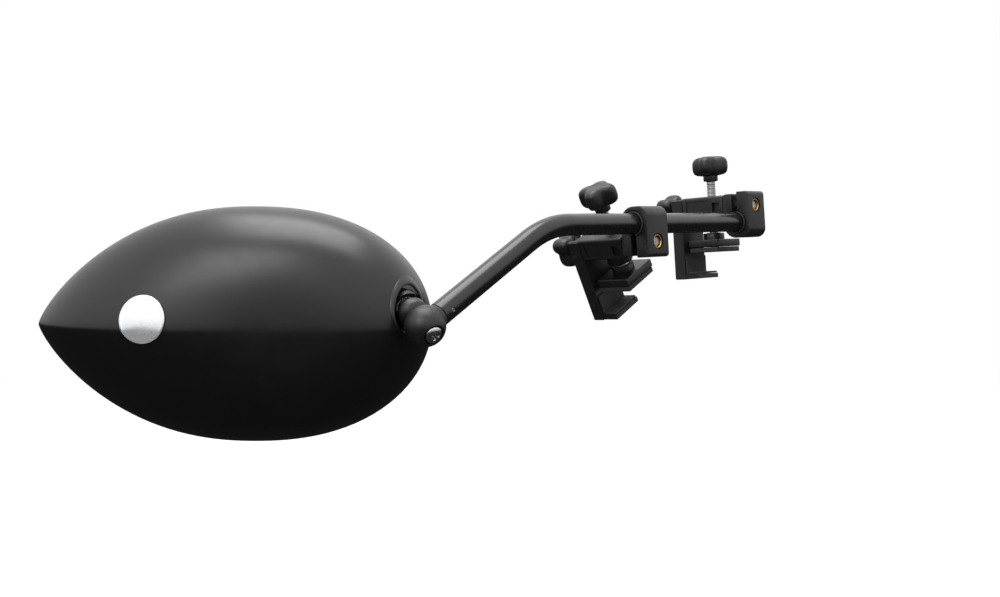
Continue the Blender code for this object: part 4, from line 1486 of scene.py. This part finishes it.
    def pad(self, pivot: Matrix) -> None:
        """Pad holder with its socket, and the ribbed rubber pad.

        Args:
            pivot: Frame on the swivel ball.
        """
        half_u, half_v = self.pad_size[0] / 2.0, self.pad_size[1] / 2.0
        low = self.pad_bottom - self.ball_z
        floor = low + 4.6 * MM
        hub = in_mm((0.0, -4.0), (9.2, -4.0), (9.2, 2.5), (8.8, 3.0), (0.0, 3.0))
        hollow = arc((0.0, 0.0), 7.5 * MM, -90.0, 20.0, 20)
        hollow[0] = (0.0, -7.5 * MM)
        plate = block((-half_u, -half_v, floor), (half_u, half_v, -2.6 * MM))
        self.make("pad_holder", plate, Slot.PLASTIC, pivot,
                  (Change(turned(hub), Matrix.Identity(4), "UNION"),
                   Change(turned(hollow + [(7.5 * MM, 6.0 * MM), (0.0, 6.0 * MM)]))), 0.95 * MM)
        inset = 0.7 * MM
        pitch, half_groove, beyond = 4.4 * MM, 0.5 * MM, 20.0 * MM
        grooves = [Change(block((pitch * number - half_groove, -beyond, low - MM),
                                (pitch * number + half_groove, beyond, low + 0.7 * MM)))
                   for number in range(-3, 4)]
        rubber = block((inset - half_u, inset - half_v, low),
                       (half_u - inset, half_v - inset, floor - GAP))
        self.make("pad_rubber", rubber, Slot.RUBBER, pivot, grooves, 0.75 * MM)

    def build(self) -> None:
        """Make every fine piece of the clamp."""
        self.collar()
        self.body()
        self.rear_knob()
        self.press()


# Floor, light and camera


@dataclass
class Studio:
    """Pale floor, soft light and the camera.

    Attributes:
        floor_radius: Radius of the floor in metres.
        dome_radius: Radius of the backdrop in metres.
        clearance: Depth of the floor below the object's box in metres.
        fade: Distances in metres between which the floor fades into the backdrop.
        pale: Colour of the floor.
        tones: Height of the direction, from 0 down to 1 up, and the grey there.
        softboxes: Name, place, size in metres and power in watts of each soft light.
        eye: Place of the camera.
        heading: Its turn about Z.
        lens: Its focal length in millimetres.
        sensor: Width of its sensor in millimetres.
        shift: Its vertical shift.
    """

    floor_radius: float = 14.0
    dome_radius: float = 18.0
    clearance: float = 0.25
    fade: Point2 = (0.5, 2.2)
    pale: Point3 = (0.90, 0.90, 0.90)
    tones: tuple[Point2, ...] = ((0.47, 0.03), (0.50, 0.32), (0.60, 1.15), (0.80, 1.40))
    softboxes: tuple[tuple[str, Point3, float, float], ...] = (
        ("overhead_softbox", (-0.30, 0.10, 1.10), 0.9, 13.0),
        ("side_softbox", (-1.30, -0.20, 0.70), 0.6, 4.0))
    eye: Vector = field(default_factory=lambda: Vector((-0.8749, -0.5834, 0.0479)))
    heading: float = math.radians(-46.6)
    lens: float = 41.4
    sensor: float = 36.0
    shift: float = -0.0885

    def floor(self) -> None:
        """Wide pale floor that fades into the background, level with the head at its lowest."""
        paint = bpy.data.materials.new("pale_floor")
        tree, output = cleared(paint, "ShaderNodeOutputMaterial", (600, 0))
        near = tree.nodes.new("ShaderNodeBsdfDiffuse")
        near.label, near.location = "Floor near the object", (100, 150)
        near.inputs["Color"].default_value = (*self.pale, 1.0)
        far = tree.nodes.new("ShaderNodeEmission")
        far.label, far.location = "Floor far away", (100, -50)
        far.inputs["Color"].default_value = WHITE
        place = tree.nodes.new("ShaderNodeTexCoord")
        place.label, place.location = "Place on the floor", (-500, 0)
        reach = tree.nodes.new("ShaderNodeVectorMath")
        reach.label, reach.location, reach.operation = "Distance", (-300, 0), "LENGTH"
        fade = tree.nodes.new("ShaderNodeMapRange")
        fade.label, fade.location, fade.interpolation_type = "Fade", (-100, 0), "SMOOTHSTEP"
        for limit, distance in zip(("From Min", "From Max"), self.fade):
            fade.inputs[limit].default_value = distance
        blend = tree.nodes.new("ShaderNodeMixShader")
        blend.label, blend.location = "Near to far", (350, 0)
        links = tree.links
        links.new(place.outputs["Object"], reach.inputs[0])
        links.new(reach.outputs["Value"], fade.inputs["Value"])
        links.new(fade.outputs["Result"], blend.inputs["Fac"])
        links.new(near.outputs["BSDF"], blend.inputs[1])
        links.new(far.outputs["Emission"], blend.inputs[2])
        links.new(blend.outputs["Shader"], output.inputs["Surface"])
        level = CAD_BOX[0][2] - self.clearance
        wide = self.floor_radius
        bm = bmesh.new()
        bm.faces.new([bm.verts.new((wide * math.cos(turn), wide * math.sin(turn), level))
                      for turn in around(FINE)])
        mesh = bpy.data.meshes.new("floor")
        bm.to_mesh(mesh)
        bm.free()
        mesh.materials.append(paint)
        made = bpy.data.objects.new("floor", mesh)
        made.visible_glossy = False
        bpy.context.scene.collection.objects.link(made)

    def backdrop(self) -> None:
        """White dome that only stands behind the object and lights nothing."""
        paint = bpy.data.materials.new("white_backdrop")
        tree, output = cleared(paint, "ShaderNodeOutputMaterial", (300, 0))
        glow = tree.nodes.new("ShaderNodeEmission")
        glow.label, glow.location = "Even white", (0, 0)
        glow.inputs["Color"].default_value = WHITE
        tree.links.new(glow.outputs["Emission"], output.inputs["Surface"])
        ring = arc((0.0, 0.0), self.dome_radius, -90.0, 90.0, 24)
        dome = [(0.0, -self.dome_radius)] + ring[1:-1] + [(0.0, self.dome_radius)]
        made = bare("backdrop", turned(dome, MEDIUM))
        made.data.materials.append(paint)
        made.visible_diffuse = made.visible_glossy = made.visible_transmission = False
        made.visible_shadow = made.visible_volume_scatter = False

    def sky(self) -> None:
        """Soft surroundings, pale above and dark below the horizon."""
        world = bpy.data.worlds.new("studio")
        bpy.context.scene.world = world
        tree, output = cleared(world, "ShaderNodeOutputWorld", (500, 0))
        light = tree.nodes.new("ShaderNodeBackground")
        light.label, light.location = "Soft surroundings", (250, 0)
        place = tree.nodes.new("ShaderNodeTexCoord")
        place.label, place.location = "Direction", (-600, 0)
        split = tree.nodes.new("ShaderNodeSeparateXYZ")
        split.label, split.location = "Height of the direction", (-400, 0)
        tone = tree.nodes.new("ShaderNodeValToRGB")
        tone.label, tone.location = "Dark below, pale above", (-150, 0)
        stops = tone.color_ramp.elements
        for number, (position, grey) in enumerate(self.tones):
            stop = stops[number] if number < len(stops) else stops.new(position)
            stop.position, stop.color = position, (grey, grey, grey, 1.0)
        lift = tree.nodes.new("ShaderNodeMapRange")
        lift.label, lift.location = "From down to up", (-300, 200)
        lift.inputs["From Min"].default_value = -1.0
        links = tree.links
        links.new(place.outputs["Generated"], split.inputs["Vector"])
        links.new(split.outputs["Z"], lift.inputs["Value"])
        links.new(lift.outputs["Result"], tone.inputs["Fac"])
        links.new(tone.outputs["Color"], light.inputs["Color"])
        links.new(light.outputs["Background"], output.inputs["Surface"])

    def softbox(self, name: str, spot: Vector, width: float, power: float) -> None:
        """A square soft light aimed at the middle of the object.

        Args:
            name: Its name.
            spot: Where it hangs.
            width: Its size.
            power: Its power in watts.
        """
        lamp = bpy.data.lights.new(name, "AREA")
        lamp.size, lamp.energy = width, power
        made = bpy.data.objects.new(name, lamp)
        middle = 0.5 * (Vector(CAD_BOX[0]) + Vector(CAD_BOX[1]))
        made.location = spot
        made.rotation_euler = (middle - spot).to_track_quat("-Z", "Y").to_euler()
        bpy.context.scene.collection.objects.link(made)

    def camera(self) -> None:
        """Level camera at the chosen viewing angle."""
        lens = bpy.data.cameras.new("camera")
        lens.lens, lens.sensor_width, lens.shift_y = self.lens, self.sensor, self.shift
        lens.clip_start, lens.clip_end = 0.02, 60.0
        made = bpy.data.objects.new("camera", lens)
        made.location = self.eye
        made.rotation_euler = (math.radians(90.0), 0.0, self.heading)
        bpy.context.scene.collection.objects.link(made)
        bpy.context.scene.camera = made

    def build(self) -> None:
        """Make the floor, the lights and the camera."""
        bpy.context.scene.view_settings.view_transform = "Standard"
        self.floor()
        self.backdrop()
        self.sky()
        for name, spot, width, power in self.softboxes:
            self.softbox(name, Vector(spot), width, power)
        self.camera()


def dress_kept_nodes() -> None:
    """Give every CAD node its detailed finish."""
    for name, node in frame["nodes"].items():
        for holder in node.material_slots:
            holder.material = MATERIALS[Slot(holder.material.name.split(".")[0])]
        LOG.info("%s dressed", name)


def main() -> None:
    """Build the looks round the frame."""
    dress_kept_nodes()
    Head().build()
    Arm().build()
    for side in Side:
        Clamp(side).build()
    Studio().build()


if __name__ == "__main__":
    main()
